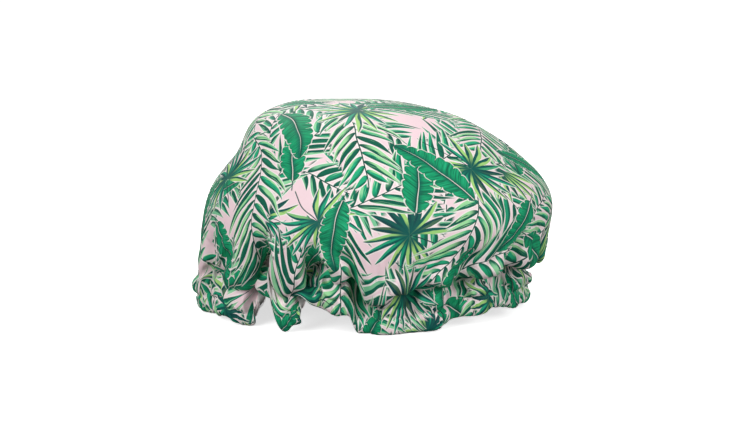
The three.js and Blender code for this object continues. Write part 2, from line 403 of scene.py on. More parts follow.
@dataclass(frozen=True)
class Waist:
    """The crease that the puff hangs over, above the gathered band.

    Depth and sag are in millimetres. Places and widths are shares of the way down, those with
    above or below in their names counted from the crease. Heights are shares of the depth.
    """

    depth: float = 8.0
    sag: float = 6.0
    place: float = 0.88
    wander: float = 0.01
    wandering: Ripple = Ripple(2, 11, 6, 11)
    uneven: float = 0.3
    unevenness: Ripple = Ripple(4, 15, 6, 9)
    crease_width: float = 0.017
    puff_height: float = 0.35
    puff_above: float = 0.05
    puff_width: float = 0.034
    band_height: float = 0.2
    band_below: float = 0.042
    band_width: float = 0.026
    sag_above: float = 0.034
    sag_width: float = 0.03
    strengths: Table = (
        (0, 1), (0.1, 0.7), (0.25, 0.9), (0.4, 0.7), (0.5, 0.5), (0.6, 0.4), (0.645, 0.2),
        (0.68, 0.6), (0.72, 0.9), (0.78, 1), (0.86, 1), (0.94, 1.1), (1, 1),
    )

    def shift(self, turn: Array, share: Array) -> tuple[Array, Array]:
        """Says how the crease moves the cloth.

        Args:
            turn: Places round the cap.
            share: Places down the cloth.

        Returns:
            How far each place moves out and down, in millimetres.
        """
        strength = read_table(self.strengths, np.mod(turn, 1.0))
        strength = strength * (1 + self.uneven * self.unevenness.at(turn))
        below = share - self.place - self.wander * self.wandering.at(turn)
        puff = self.puff_height * bell(below + self.puff_above, self.puff_width)
        band = self.band_height * bell(below - self.band_below, self.band_width)
        out = self.depth * strength * (puff + band - bell(below, self.crease_width))
        down = self.sag * strength * bell(below + self.sag_above, self.sag_width)
        return out, down


@dataclass(frozen=True)
class Pleats:
    """The pleats that run up from the elastic, and the soft swells of the cloth between them.

    Depths are in millimetres, widths in turns, and places down the cloth in shares. A pair holds
    the least and the most that a pleat may draw, or where something starts and where it is full.
    """

    count: int = 34
    jitter: float = 0.38
    depth: float = 5.5
    depths: Span = (0.45, 1.25)
    width: float = 0.0085
    widths: Span = (0.7, 1.6)
    begins: Span = (0.72, 0.88)
    onset: float = 0.12
    lean: float = 0.03
    lean_run: float = 0.2
    opening: float = 2.2
    sharpness: float = 1.6
    swell_depth: float = 1.6
    swell: Ripple = Ripple(5, 13, 7, 4)
    swell_twist: float = 0.15
    swell_span: Span = (0.3, 0.62)
    calmed: float = 0.6
    calm_span: Span = (0.85, 1)

    def height(self, turn: Array, share: Array, stitch_share: float) -> Array:
        """Says how far pleats and swells stand out of the form.

        Args:
            turn: Places round the cap.
            share: Places down the cloth.
            stitch_share: Where the stitch row is.

        Returns:
            The height at each place, in millimetres.
        """
        rng = np.random.default_rng(SEED)
        out = np.zeros(np.shape(turn))
        above = stitch_share - share
        jitter = rng.uniform(-self.jitter, self.jitter, self.count)
        for place in (np.arange(self.count) + jitter) / self.count:
            begin = rng.uniform(*self.begins)
            lean = rng.normal(0, self.lean)
            width = self.width * rng.uniform(*self.widths)
            depth = self.depth * rng.uniform(*self.depths)
            opened = 1 + self.opening * np.clip(above / (stitch_share - begin), 0, 1)
            away = wrapped(turn - place - lean * above / self.lean_run)
            pleat = bell(away, width * opened, self.sharpness)
            out -= depth * pleat * ease(begin, begin + self.onset, share)
        swell = self.swell.at(turn + self.swell_twist * share) * ease(*self.swell_span, share)
        return out + self.swell_depth * swell * (1 - self.calmed * ease(*self.calm_span, share))


@dataclass(frozen=True)
class Ruches:
    """The fine ruches of the cloth on the elastic's channel.

    Jitter and slant are in ruches. The foot, belly and neck give how high the ruches are at the
    channel's two edges, how much higher in its middle, and how high above it, as shares.
    """

    count: int = 150
    depth: float = 2.2
    floor: float = 0.7
    floor_softness: float = 0.3
    jitter: float = 0.8
    jittering: Ripple = Ripple(9, 40, 6, 1)
    even_height: float = 0.6
    uneven_height: float = 0.4
    swinging: Ripple = Ripple(20, 90, 8, 2)
    slant: float = 0.5
    slanting: Ripple = Ripple(15, 50, 6, 3)
    mouth: float = 0.035
    foot: float = 0.45
    belly: float = 0.55
    neck: float = 0.5

    def height(self, turn: Array, share: Array, stitch_share: float, layer: int) -> Array:
        """Says how far the ruches stand out.

        Args:
            turn: Places round the cap.
            share: Places down the cloth.
            stitch_share: Where the stitch row is.
            layer: Gives each layer of cloth ruches of its own.

        Returns:
            The height at each place, in millimetres, never much below the floor.
        """
        below, channel = share - stitch_share, 1 - stitch_share
        jitter = self.jitter * self.jittering.at(turn, layer)
        swing = self.even_height + self.uneven_height * self.swinging.at(turn, layer)
        slant = self.slant * self.slanting.at(turn, layer) * below / channel
        ruche = np.sin(FULL_TURN * (self.count * turn + jitter + slant))
        mouth = ease(stitch_share - self.mouth, stitch_share, share)
        belly = self.foot + self.belly * np.sin(math.pi * np.clip(below / channel, 0, 1))
        belly = np.where(share > stitch_share, belly, self.neck)
        height = self.depth * ruche * swing * mouth * belly
        above = np.logaddexp(0, (height + self.floor) / self.floor_softness)
        return self.floor_softness * above - self.floor


@dataclass(frozen=True)
class Gathers:
    """All that the elastic does to the cloth, from the puff down to the hem."""

    waist: Waist = Waist()
    pleats: Pleats = Pleats()
    ruches: Ruches = Ruches()


@dataclass(frozen=True)
class Roll:
    """A place where the channel has rolled outwards: its turn, its width in turns and degrees."""

    turn: float
    width: float
    degrees: float


@dataclass(frozen=True)
class Channel:
    """The elastic's channel at the hem."""

    height: float = 13.6
    swell: float = 2.0
    pinch: float = 1.3
    pinch_width: float = 1.4
    edge_roll: float = 2.0
    facing: float = 3.6
    thread: float = 0.42
    rolls: tuple[Roll, ...] = (Roll(0.647, 0.0105, 140.0), Roll(0.6985, 0.0065, 110.0))
    roll_sharpness: int = 3
    roll_softness: float = 2.0

    def edge_allowance(self) -> float:
        """How much cloth the turned edge takes beyond the hem."""
        return math.pi * self.edge_roll + self.facing


@dataclass(frozen=True)
class GridSizes:
    """How far apart the points of the cloth lie, in millimetres, and how its flat round is laid.

    Rows and the points round a ring come closer together between two shares of the way down.
    The back takes more of the flat cloth in its folds than the front, which is less squeezed.
    """

    coarse: float = 4.6
    fine: float = 2.1
    rows_span: Span = (0.55, 0.82)
    ring_span: Span = (0.5, 0.8)
    channel_rows: float = 0.8
    widest: float = 1.35
    first_ring: int = 25
    front_share: float = 0.2
    front_span: Span = (0.15, 0.75)

    def spacing(self, span: Span, share: float) -> float:
        """How far apart points lie at a place down the cloth."""
        return self.coarse + (self.fine - self.coarse) * float(ease(*span, share))


class ClothGrid:
    """Rings of points down a round of cloth. Their number doubles where a ring gets wide."""

    def __init__(self, form: CapForm, channel: Channel, sizes: GridSizes = GridSizes()) -> None:
        """Lays the rings out.

        Args:
            form: The puffed form.
            channel: The elastic's channel, which gets rings of its own.
            sizes: The spacing of the points.
        """
        self.sizes = sizes
        self.radius = form.cloth_radius()
        self.stitch_share = 1 - channel.height / self.radius
        stitch_radius = self.stitch_share * self.radius
        radii = [0.0]
        while radii[-1] < stitch_radius:
            radii.append(radii[-1] + sizes.spacing(sizes.rows_span, radii[-1] / self.radius))
        dome = np.array(radii[1:]) * self.stitch_share * self.radius / radii[-1]
        rows = math.ceil(channel.height / (sizes.channel_rows * sizes.fine))
        hem = np.linspace(stitch_radius, self.radius, rows + 1)[1:]
        self.ring_radii = np.concatenate([dome, hem])
        self.stitch_row = len(dome) - 1
        self.counts: list[int] = []
        count = sizes.first_ring
        for radius in self.ring_radii:
            spacing = sizes.spacing(sizes.ring_span, radius / self.radius)
            if FULL_TURN * radius / count > sizes.widest * spacing:
                count *= 2
            self.counts.append(count)
        self.starts = 1 + np.concatenate([[0], np.cumsum(self.counts)[:-1]])
        self.turn = np.concatenate([[0.0], *[np.arange(n) / n for n in self.counts]])
        radius_of_points = np.concatenate([[0.0], np.repeat(self.ring_radii, self.counts)])
        self.share = radius_of_points / self.radius
        self.up = (1 - self.share) * self.radius

    def ring(self, row: int) -> Array:
        """The indices of one ring's points; row -1 is the hem."""
        row = row % len(self.counts)
        return np.arange(self.starts[row], self.starts[row] + self.counts[row])

    def ring_at(self, up: float) -> Array:
        """The indices of the points of the ring that is nearest to a height above the hem."""
        return self.ring(int(np.argmin(np.abs(self.up[self.starts] - up))))

    def faces(self) -> Faces:
        """The faces between the rings, facing out of the form."""
        first = self.ring(0)
        faces = [(0, int(a), int(b)) for a, b in zip(first, np.roll(first, -1))]
        for row in range(len(self.counts) - 1):
            faces += ring_faces(self.ring(row), self.ring(row + 1))
        return faces

    def flat_place(self, turn: Array, radius: Array) -> Array:
        """Finds places on the flat cloth.

        Args:
            turn: Places round the cap.
            radius: How far each is from the crown along the cloth.

        Returns:
            X and Y for each place.
        """
        sizes = self.sizes
        uneven = sizes.front_share * ease(*sizes.front_span, radius / self.radius)
        angle = FULL_TURN * turn + uneven * np.sin(FULL_TURN * (turn - 0.25))
        return np.stack([radius * np.cos(angle), radius * np.sin(angle)], axis=-1)


def ring_faces(upper: Array, lower: Array) -> Faces:
    """Joins two rings of points.

    Args:
        upper: The indices of the upper ring's points.
        lower: Those of the lower ring, as many as the upper ring's or twice as many.

    Returns:
        The faces between the rings.
    """
    above = list(zip(upper.tolist(), np.roll(upper, -1).tolist()))
    if len(lower) == len(upper):
        below = zip(lower.tolist(), np.roll(lower, -1).tolist())
        return [(a, c, d, b) for (a, b), (c, d) in zip(above, below)]
    below = zip(lower[::2].tolist(), lower[1::2].tolist(), np.roll(lower, -2)[::2].tolist())
    faces = []
    for (a, b), (c, d, e) in zip(above, below):
        faces += [(a, c, d), (a, d, e, b)]
    return faces


def point_normals(points: Array, faces: Faces) -> Array:
    """Works out a mesh's normals, weighted by face area.

    Args:
        points: The mesh's points.
        faces: Point indices of each face.

    Returns:
        A unit vector for each point.
    """
    triangles = np.array([(f[0], f[i], f[i + 1]) for f in faces for i in range(1, len(f) - 1)])
    corners = points[triangles]
    cross = np.cross(corners[:, 1] - corners[:, 0], corners[:, 2] - corners[:, 0])
    normals = np.zeros_like(points)
    for corner in range(3):
        np.add.at(normals, triangles[:, corner], cross)
    return unit(normals)


def smoothed(values: Array, faces: Faces, rounds: int) -> Array:
    """Evens out values on a mesh's points by averaging along its edges.

    Args:
        values: A row of values for each point.
        faces: Point indices of each face.
        rounds: How many times it is done.

    Returns:
        The evened values.
    """
    sides = np.array([(a, b) for f in faces for a, b in zip(f, (*f[1:], f[0]))])
    edges = np.unique(np.sort(sides, axis=1), axis=0)
    count = np.zeros(len(values))
    np.add.at(count, edges.ravel(), 1)
    for _ in range(rounds):
        total = np.zeros_like(values)
        np.add.at(total, edges[:, 0], values[edges[:, 1]])
        np.add.at(total, edges[:, 1], values[edges[:, 0]])
        values = 0.5 * values + 0.5 * total / count[:, None]
    return values


def smooth_ring(values: Array, rounds: int = 3) -> Array:
    """Evens out values round a closed ring."""
    for _ in range(rounds):
        beside = 0.25 * np.roll(values, 1, axis=0) + 0.5 * values
        values = beside + 0.25 * np.roll(values, -1, axis=0)
    return values


def along_ring(values: Array, turn: Array) -> Array:
    """Reads values on a closed ring of evenly spaced points.

    Args:
        values: A row of values for each point of the ring.
        turn: Places round the ring, as shares of a turn.

    Returns:
        A row of values for each place.
    """
    place = np.mod(turn, 1.0) * len(values)
    before = np.floor(place).astype(int) % len(values)
    share = (place - np.floor(place))[:, None]
    return values[before] * (1 - share) + values[(before + 1) % len(values)] * share


def on_ground(points: Array, softness: float = 0.7) -> Array:
    """Flattens what would reach below the surface that the cap stands on."""
    points = points.copy()
    points[:, 2] = 0.5 * (points[:, 2] + np.sqrt(points[:, 2] ** 2 + softness**2))
    return points


def creased(form: CapForm, waist: Waist, turn: Array, share: Array, outward: Array) -> Array:
    """Finds places on the puffed form with the waist's crease in it.

    Args:
        form: The puffed form.
        waist: The crease.
        turn: Places round the cap.
        share: Places down the cloth.
        outward: The way out at each place.

    Returns:
        A point in millimetres for each place.
    """
    out, down = waist.shift(turn, share)
    points = form.face(turn, share) + outward * out[..., None]
    points[..., 2] -= down
    return points


@dataclass(frozen=True)
class Pull:
    """A pull on points that are some steps apart on a thread.

    Neighbours are pulled to their length. Points further apart are only pushed away from each
    other where a fold is so sharp that less than the least share of their length is left.
    """

    steps: int
    least: float
    strength: float

    def shift(self, apart: Array, length: Array) -> Array:
        """Works out the pull on pairs of points.

        Args:
            apart: From one point of each pair to the other.
            length: How long the thread between them is.

        Returns:
            How far the second point of each pair moves, and the first the other way.
        """
        size = np.maximum(np.linalg.norm(apart, axis=2, keepdims=True), TINY)
        short = length[..., None] / size - 1
        if self.steps > 1:
            short = np.maximum(short, 0)
        return apart * (0.5 * self.strength * short)


@dataclass(frozen=True)
class Settling:
    """Settles the gathered part of the cloth into folds of its own.

    The cloth is a grid of rings and columns. Each round moves its points on, pulls every thread
    back to its length, keeps folds from getting too sharp, and draws the points softly towards
    the form. The rings hold more cloth than the form has room for, so they buckle.

    The spacing of the rows, how far points may go out, in and aside, the sag in a round and the
    ground's clearance are in millimetres. The surplus and the hold are tables by share.
    """

    rounds: int = 150
    columns: int = 800
    spacing: float = 2.2
    first_share: float = 0.46
    surplus: Table = (
        (0.46, 0), (0.64, 0), (0.7, 0.03), (0.76, 0.12), (0.82, 0.28), (0.88, 0.44), (0.93, 0.5),
        (0.96, 0.3), (1, 0.2),
    )
    hold: Table = (
        (0.46, 0.5), (0.55, 0.1), (0.65, 0.02), (0.75, 0.006), (0.87, 0.005), (0.92, 0.02),
        (0.945, 0.2), (1, 0.5),
    )
    outmost: float = 5.0
    inmost: float = 11.0
    aside: float = 4.0
    uneven: float = 0.45
    unevenness: Ripple = Ripple(3, 14, 6, 7)
    thread: Pull = Pull(1, 1.0, 0.9)
    shear: Pull = Pull(1, 1.0, 0.12)
    bends: tuple[Pull, ...] = (
        Pull(2, 0.98, 0.4), Pull(4, 0.97, 0.4), Pull(9, 0.93, 0.5), Pull(20, 0.76, 0.5),
    )
    down_bends: tuple[Pull, ...] = (Pull(2, 0.97, 0.3), Pull(4, 0.93, 0.2))
    carry: float = 0.86
    sag: float = 0.004
    ground: float = 0.5

    def settle(
        self, form: CapForm, gathers: Gathers, stitch_share: float, radius: float
    ) -> tuple[Array, Array]:
        """Runs the rounds.

        Args:
            form: The puffed form.
            gathers: The crease, and the pleats that the folds start from.
            stitch_share: Where the stitch row is.
            radius: The flat cloth's radius.

        Returns:
            The rows' shares, and how far each point of the grid has moved off the form.
        """
        rows = int((1 - self.first_share) * radius / self.spacing)
        shares = np.linspace(self.first_share, 1, rows + 1)
        turns = np.arange(self.columns) / self.columns
        share, turn = np.meshgrid(shares, turns, indexing="ij")
        outward = form.smooth_outward(turn, share)
        smooth = creased(form, gathers.waist, turn, share, outward)
        points = smooth + outward * gathers.pleats.height(turn, share, stitch_share)[..., None]
        surplus = read_table(self.surplus, share)
        surplus = surplus * (1 + self.uneven * self.unevenness.at(turn))
        across = np.linalg.norm(np.roll(smooth, -1, axis=1) - smooth, axis=2)
        across = across * (1 + np.maximum(surplus, 0))
        down = np.linalg.norm(smooth[1:] - smooth[:-1], axis=2)
        hold = read_table(self.hold, share)[..., None]
        before = points.copy()
        for _ in range(self.rounds):
            moved = points + self.carry * (points - before)
            moved[..., 2] -= self.sag
            before, points = points, moved
            self._pull_rings(points, across, self.thread)
            self._pull_columns(points, down, self.thread)
            self._pull_shear(points, across, down)
            for bend in self.bends:
                self._pull_rings(points, across, bend)
            for bend in self.down_bends:
                self._pull_columns(points, down, bend)
            self._pull_rings(points, across, self.thread)
            points += hold * (smooth - points)
            off = points - smooth
            out = np.sum(off * outward, axis=2, keepdims=True)
            beside = off - out * outward
            far = np.linalg.norm(beside, axis=2, keepdims=True)
            beside = beside * np.minimum(1, self.aside / np.maximum(far, TINY))
            points = smooth + outward * np.clip(out, -self.inmost, self.outmost) + beside
            points[..., 2] = np.maximum(points[..., 2], self.ground)
        return shares, points - smooth

    def _pull_rings(self, points: Array, across: Array, pull: Pull) -> None:
        """Pulls points that are some columns apart on a ring.

        Args:
            points: The grid's points, which it moves.
            across: The length of the thread from each point to the next on its ring.
            pull: The pull.
        """
        steps, pair = pull.steps, 2 * pull.steps
        length = sum(np.roll(across, -k, axis=1) for k in range(steps)) * pull.least
        for start in range(pair):
            here = np.arange(start, self.columns - self.columns % pair, pair)
            there = (here + steps) % self.columns
            shift = pull.shift(points[:, there] - points[:, here], length[:, here])
            points[:, there] += shift
            points[:, here] -= shift

    def _pull_columns(self, points: Array, down: Array, pull: Pull) -> None:
        """Pulls points that are some rows apart on a column.

        Args:
            points: The grid's points, which it moves.
            down: The length of the thread from each point to the next on its column.
            pull: The pull.
        """
        steps, rows = pull.steps, len(points)
        length = sum(down[k : rows - steps + k] for k in range(steps)) * pull.least
        for start in range(2 * steps):
            here = np.arange(start, rows - steps, 2 * steps)
            shift = pull.shift(points[here + steps] - points[here], length[here])
            points[here + steps] += shift
            points[here] -= shift

    def _pull_shear(self, points: Array, across: Array, down: Array) -> None:
        """Pulls the corners of each cell softly to the length of its diagonals.

        Args:
            points: The grid's points, which it moves.
            across: The length of the thread from each point to the next on its ring.
            down: That from each point to the next on its column.
        """
        for side in (1, -1):
            width = across if side == 1 else np.roll(across, 1, axis=1)
            for start in (0, 1):
                upper, lower = slice(start, -1, 2), slice(start + 1, None, 2)
                apart = np.roll(points[lower], -side, axis=1) - points[upper]
                shift = self.shear.shift(apart, np.hypot(width[upper], down[start::2]))
                points[lower] += np.roll(shift, side, axis=1)
                points[upper] -= shift


class Cloth:
    """The shaped fabric that every other piece follows: its points, faces and normals.

    The points under are those of the fabric before it is ruched and laid on the ground. The even
    normals are smoothed over several points, and the close ones over few.
    """

    SETTLED_RUN = 0.05
    EVEN_ROUNDS = 4
    CLOSE_ROUNDS = 1
    PIVOT_ROUNDS = 6

    def __init__(self, form: CapForm, gathers: Gathers, channel: Channel) -> None:
        """Lays the grid on the form and gathers it.

        Args:
            form: The puffed form.
            gathers: The crease, pleats and ruches.
            channel: The elastic's channel.
        """
        self.form, self.gathers, self.channel = form, gathers, channel
        self.grid = grid = ClothGrid(form, channel)
        self.faces = grid.faces()
        self.flat = grid.flat_place(grid.turn, grid.share * grid.radius)
        outward = form.outward(grid.turn, grid.share)
        outward[0] = (0, 0, 1)
        self.under = self._gathered(outward)
        ruche = gathers.ruches.height(grid.turn, grid.share, grid.stitch_share, 0)
        self.points = on_ground(self.under + outward * ruche[:, None])
        even, close = point_normals(self.under, self.faces), point_normals(self.points, self.faces)
        self.even_normals = unit(smoothed(even, self.faces, self.EVEN_ROUNDS))
        self.close_normals = unit(smoothed(close, self.faces, self.CLOSE_ROUNDS))

    def _gathered(self, outward: Array) -> Array:
        """Creases, pleats and settles the cloth, and swells it round the elastic.

        Args:
            outward: The way out of the form at each point.

        Returns:
            The points, in millimetres.
        """
        grid, channel = self.grid, self.channel
        stitch = grid.stitch_share
        height = self.gathers.pleats.height(grid.turn, grid.share, stitch)
        base = creased(self.form, self.gathers.waist, grid.turn, grid.share, outward)
        base = base + outward * height[:, None]
        settled = Settling().settle(self.form, self.gathers, stitch, grid.radius)
        base = self._settled(base, *settled)
        along = np.clip((grid.share - stitch) / (1 - stitch), 0, 1)
        swell = channel.swell * np.sqrt(np.clip(4 * along * (1 - along), 0, 1))
        below = (grid.share - stitch) * grid.radius
        pinch = channel.pinch * bell(below, channel.pinch_width)
        return base + outward * (swell - pinch)[:, None]

    def _settled(self, base: Array, shares: Array, moved: Array) -> Array:
        """Takes the settled folds over onto the cloth's own points.

        Args:
            base: The cloth's points before that.
            shares: The shares of the settled grid's rows.
            moved: How far each of its points has moved off the form.

        Returns:
            The cloth's points with those folds.
        """
        grid = self.grid
        short_of_last = len(shares) - 1.001
        row = np.clip((grid.share - shares[0]) / (shares[1] - shares[0]), 0, short_of_last)
        column = np.rint(grid.turn * moved.shape[1]).astype(int) % moved.shape[1]
        above = np.floor(row).astype(int)
        part = (row - above)[:, None]
        shift = moved[above, column] * (1 - part) + moved[above + 1, column] * part
        share = ease(shares[0], shares[0] + self.SETTLED_RUN, grid.share)[:, None]
        even = self.form.smooth_outward(grid.turn, grid.share)
        smooth = creased(self.form, self.gathers.waist, grid.turn, grid.share, even)
        return base * (1 - share) + (smooth + shift) * share

    def rolled(self, points: Array, turn: Array, up: Array) -> Array:
        """Turns the channel outwards about the stitch row where the hem has rolled over.

        Args:
            points: Places in millimetres.
            turn: Each one's place round the cap.
            up: Each one's height above the hem along the cloth.

        Returns:
            The places after the roll.
        """
        channel = self.channel
        angle = np.zeros(len(points))
        for roll in channel.rolls:
            near = bell(wrapped(turn - roll.turn), roll.width, channel.roll_sharpness)
            angle += math.radians(roll.degrees) * near
        start, full = channel.height + channel.roll_softness, channel.height - channel.roll_softness
        angle = (angle * ease(start, full, up))[:, None]
        line = smooth_ring(self.under[self.grid.ring(self.grid.stitch_row)], self.PIVOT_ROUNDS)
        ahead = unit(np.roll(line, -1, axis=0) - np.roll(line, 1, axis=0))
        pivot, axis = along_ring(line, turn), along_ring(ahead, turn)
        arm = points - pivot
        turned = arm * np.cos(angle) - np.cross(axis, arm) * np.sin(angle)
        turned += axis * np.sum(axis * arm, axis=1, keepdims=True) * (1 - np.cos(angle))
        return pivot + turned

    def hem_frame(self) -> tuple[Array, Array, Array]:
        """The hem's points, the way out and the way up along the cloth at each."""
        hem, above = self.grid.ring(-1), self.grid.ring(-3)
        return self.points[hem], self.even_normals[hem], unit(self.under[above] - self.under[hem])


def add_object(name: str, data: bpy.types.ID) -> Object:
    """Puts an object with this mesh, light or camera in the scene."""
    made = bpy.data.objects.new(name, data)
    bpy.context.scene.collection.objects.link(made)
    return made


def mesh_object(name: str, points: Array, faces: Faces) -> Object:
    """Makes a smooth-shaded mesh object.

    Args:
        name: The object's name.
        points: One row of three coordinates for each point, in millimetres.
        faces: Point indices of each face.

    Returns:
        The object, in the scene.
    """
    mesh = bpy.data.meshes.new(name)
    mesh.from_pydata((points * METRES).tolist(), [], faces)
    mesh.polygons.foreach_set("use_smooth", np.ones(len(mesh.polygons), bool))
    mesh.update()
    return add_object(name, mesh)


def lofted(name: str, loops: Array, closed: bool) -> Object:
    """Makes one body through loops of points.

    Args:
        name: The object's name.
        loops: For each loop, its points in order.
        closed: Whether the last loop joins the first. Otherwise a face closes each end.

    Returns:
        The object.
    """
    count, sides = loops.shape[:2]
    faces: Faces = []
    for i in range(count if closed else count - 1):
        here, after = i * sides, (i + 1) % count * sides
        for j in range(sides):
            k = (j + 1) % sides
            faces.append((here + j, here + k, after + k, after + j))
    if not closed:
        faces.append(tuple(reversed(range(sides))))
        faces.append(tuple(range((count - 1) * sides, count * sides)))
    return mesh_object(name, loops.reshape(-1, 3), faces)


def tube(name: str, path: Array, across: Array, radius: float, sides: int, closed: bool) -> Object:
    """Makes a round tube along a path.

    Args:
        name: The object's name.
        path: The centre line's points, in millimetres.
        across: A direction for each point, roughly square to the path.
        radius: The tube's radius.
        sides: How many sides its section has.
        closed: Whether the path's end joins its start.

    Returns:
        The object.
    """
    if closed:
        ahead = np.roll(path, -1, axis=0) - np.roll(path, 1, axis=0)
    else:
        ahead = np.gradient(path, axis=0)
    ahead = unit(ahead)
    third = unit(np.cross(ahead, across))
    second = np.cross(third, ahead)
    angles = (FULL_TURN * np.arange(sides) / sides)[None, :, None]
    section = np.cos(angles) * second[:, None] + np.sin(angles) * third[:, None]
    return lofted(name, path[:, None] + radius * section, closed)


def add_flat_map(made: Object, flat: Array) -> None:
    """Gives a mesh the UV map that holds each point's place on the flat cloth.

    Args:
        made: The mesh's object.
        flat: X and Y for each point, in millimetres.
    """
    layer = made.data.uv_layers.new(name=CLOTH_UV)
    corners = np.zeros(len(made.data.loops), int)
    made.data.loops.foreach_get("vertex_index", corners)
    layer.data.foreach_set("uv", (flat[corners] / CLOTH_UV_SPAN + 0.5).ravel())


def add_subdivision(made: Object) -> None:
    """Divides each face once more, smoothly."""
    modifier = made.modifiers.new("smooth", "SUBSURF")
    modifier.levels = modifier.render_levels = 1


def finish_piece(made: Object, material: Material, node: str) -> Object:
    """Gives a piece its material and its place in the record.

    Args:
        made: The piece.
        material: Its material.
        node: The CAD node that it stands for.

    Returns:
        The piece.
    """
    made.data.materials.append(material)
    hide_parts(node)
    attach(made, "root")
    return made


@dataclass(frozen=True)
class OuterShell:
    """The printed fabric: the round of cloth, and its edge turned in under the lining."""

    cloth: Cloth
    roll_steps: int = 6
    roll_drop: float = 0.7
    facing_rows: int = 3

    def build(self, material: Material) -> Object:
        """Makes the mesh and dresses it.

        Args:
            material: The fabric's material.

        Returns:
            The fabric.
        """
        cloth, grid = self.cloth, self.cloth.grid
        rows, lengths = self._turned_edge()
        count = grid.counts[-1]
        faces, ring = list(cloth.faces), grid.ring(-1)
        for row in range(len(rows)):
            after = len(cloth.points) + row * count + np.arange(count)
            faces += ring_faces(ring, after)
            ring = after
        turn = np.arange(count) / count
        turns = np.concatenate([grid.turn, np.tile(turn, len(rows))])
        ups = np.concatenate([grid.up, np.zeros(count * len(rows))])
        points = cloth.rolled(np.vstack([cloth.points, *rows]), turns, ups)
        flat = [grid.flat_place(turn, np.full(count, grid.radius + more)) for more in lengths]
        made = mesh_object("printed_fabric", on_ground(points), faces)
        add_flat_map(made, np.vstack([cloth.flat, *flat]))
        add_subdivision(made)
        return finish_piece(made, material, "outer_shell")

    def _turned_edge(self) -> tuple[list[Array], list[float]]:
        """Lays rows of points round the rolled edge and up its facing, inside.

        Returns:
            The rows, and how far past the hem each lies along the cloth.
        """
        channel = self.cloth.channel
        hem, out, up = self.cloth.hem_frame()
        rows, lengths = [], []
        for step in range(1, self.roll_steps + 1):
            angle = math.pi * step / self.roll_steps
            inset = channel.edge_roll * (1 - math.cos(angle))
            drop = self.roll_drop * channel.edge_roll * math.sin(angle)
            rows.append(hem - out * inset - up * drop)
            lengths.append(channel.edge_roll * angle)
        for step in range(1, self.facing_rows + 1):
            rise = channel.facing * step / self.facing_rows
            rows.append(hem - out * 2 * channel.edge_roll + up * rise)
            lengths.append(channel.edge_roll * math.pi + rise)
        return rows, lengths


@dataclass(frozen=True)
class Lining:
    """The waterproof film under the fabric, bowed in round the elastic and ruched with it.

    The gap is how far in it lies above the stitch row, and the inset how far below. The fall is
    the share of the channel over which it bows in, and the free run the share of the way down
    over which it leaves the fabric's own folds.
    """

    cloth: Cloth
    gap: float = 0.6
    inset: float = 3.5
    fall: float = 0.35
    stitched_share: float = 0.7
    stitched_width: float = 1.3
    ruche_share: float = 0.7
    free_run: float = 0.02
    crinkle_depth: float = 0.1
    crinkle: Ripple = Ripple(40, 120, 9, 60)
    crinkle_twist: float = 0.3
    layer: int = 40

    def points(self) -> Array:
        """Finds the lining's points.

        Returns:
            One for each point of the fabric's grid, in millimetres.
        """
        cloth, grid = self.cloth, self.cloth.grid
        stitch = grid.stitch_share
        below = ease(stitch, stitch + self.fall * (1 - stitch), grid.share)
        inset = self.gap + (self.inset - self.gap) * below
        by_stitch = bell(grid.up - cloth.channel.height, self.stitched_width)
        inset -= self.stitched_share * self.gap * by_stitch
        ruche = cloth.gathers.ruches.height(grid.turn, grid.share, stitch, self.layer)
        crinkle = self.crinkle.at(grid.turn + self.crinkle_twist * grid.share)
        free = ease(stitch, stitch - self.free_run, grid.share)
        inset = inset + self.ruche_share * ruche * (1 - free) + self.crinkle_depth * crinkle
        free, inset = free[:, None], inset[:, None]
        way = unit(cloth.even_normals * (1 - free) + cloth.close_normals * free)
        return cloth.under * (1 - free) + cloth.points * free - way * inset

    def build(self, material: Material) -> Object:
        """Makes the mesh, which ends a row above the hem, and dresses it.

        Args:
            material: The film's material.

        Returns:
            The lining.
        """
        cloth, grid = self.cloth, self.cloth.grid
        keep = grid.starts[-1]
        faces = [face for face in cloth.faces if max(face) < keep]
        points = cloth.rolled(self.points(), grid.turn, grid.up)[:keep]
        made = mesh_object("waterproof_film", on_ground(points), faces)
        add_flat_map(made, cloth.flat[:keep])
        add_subdivision(made)
        return finish_piece(made, material, "waterproof_lining")


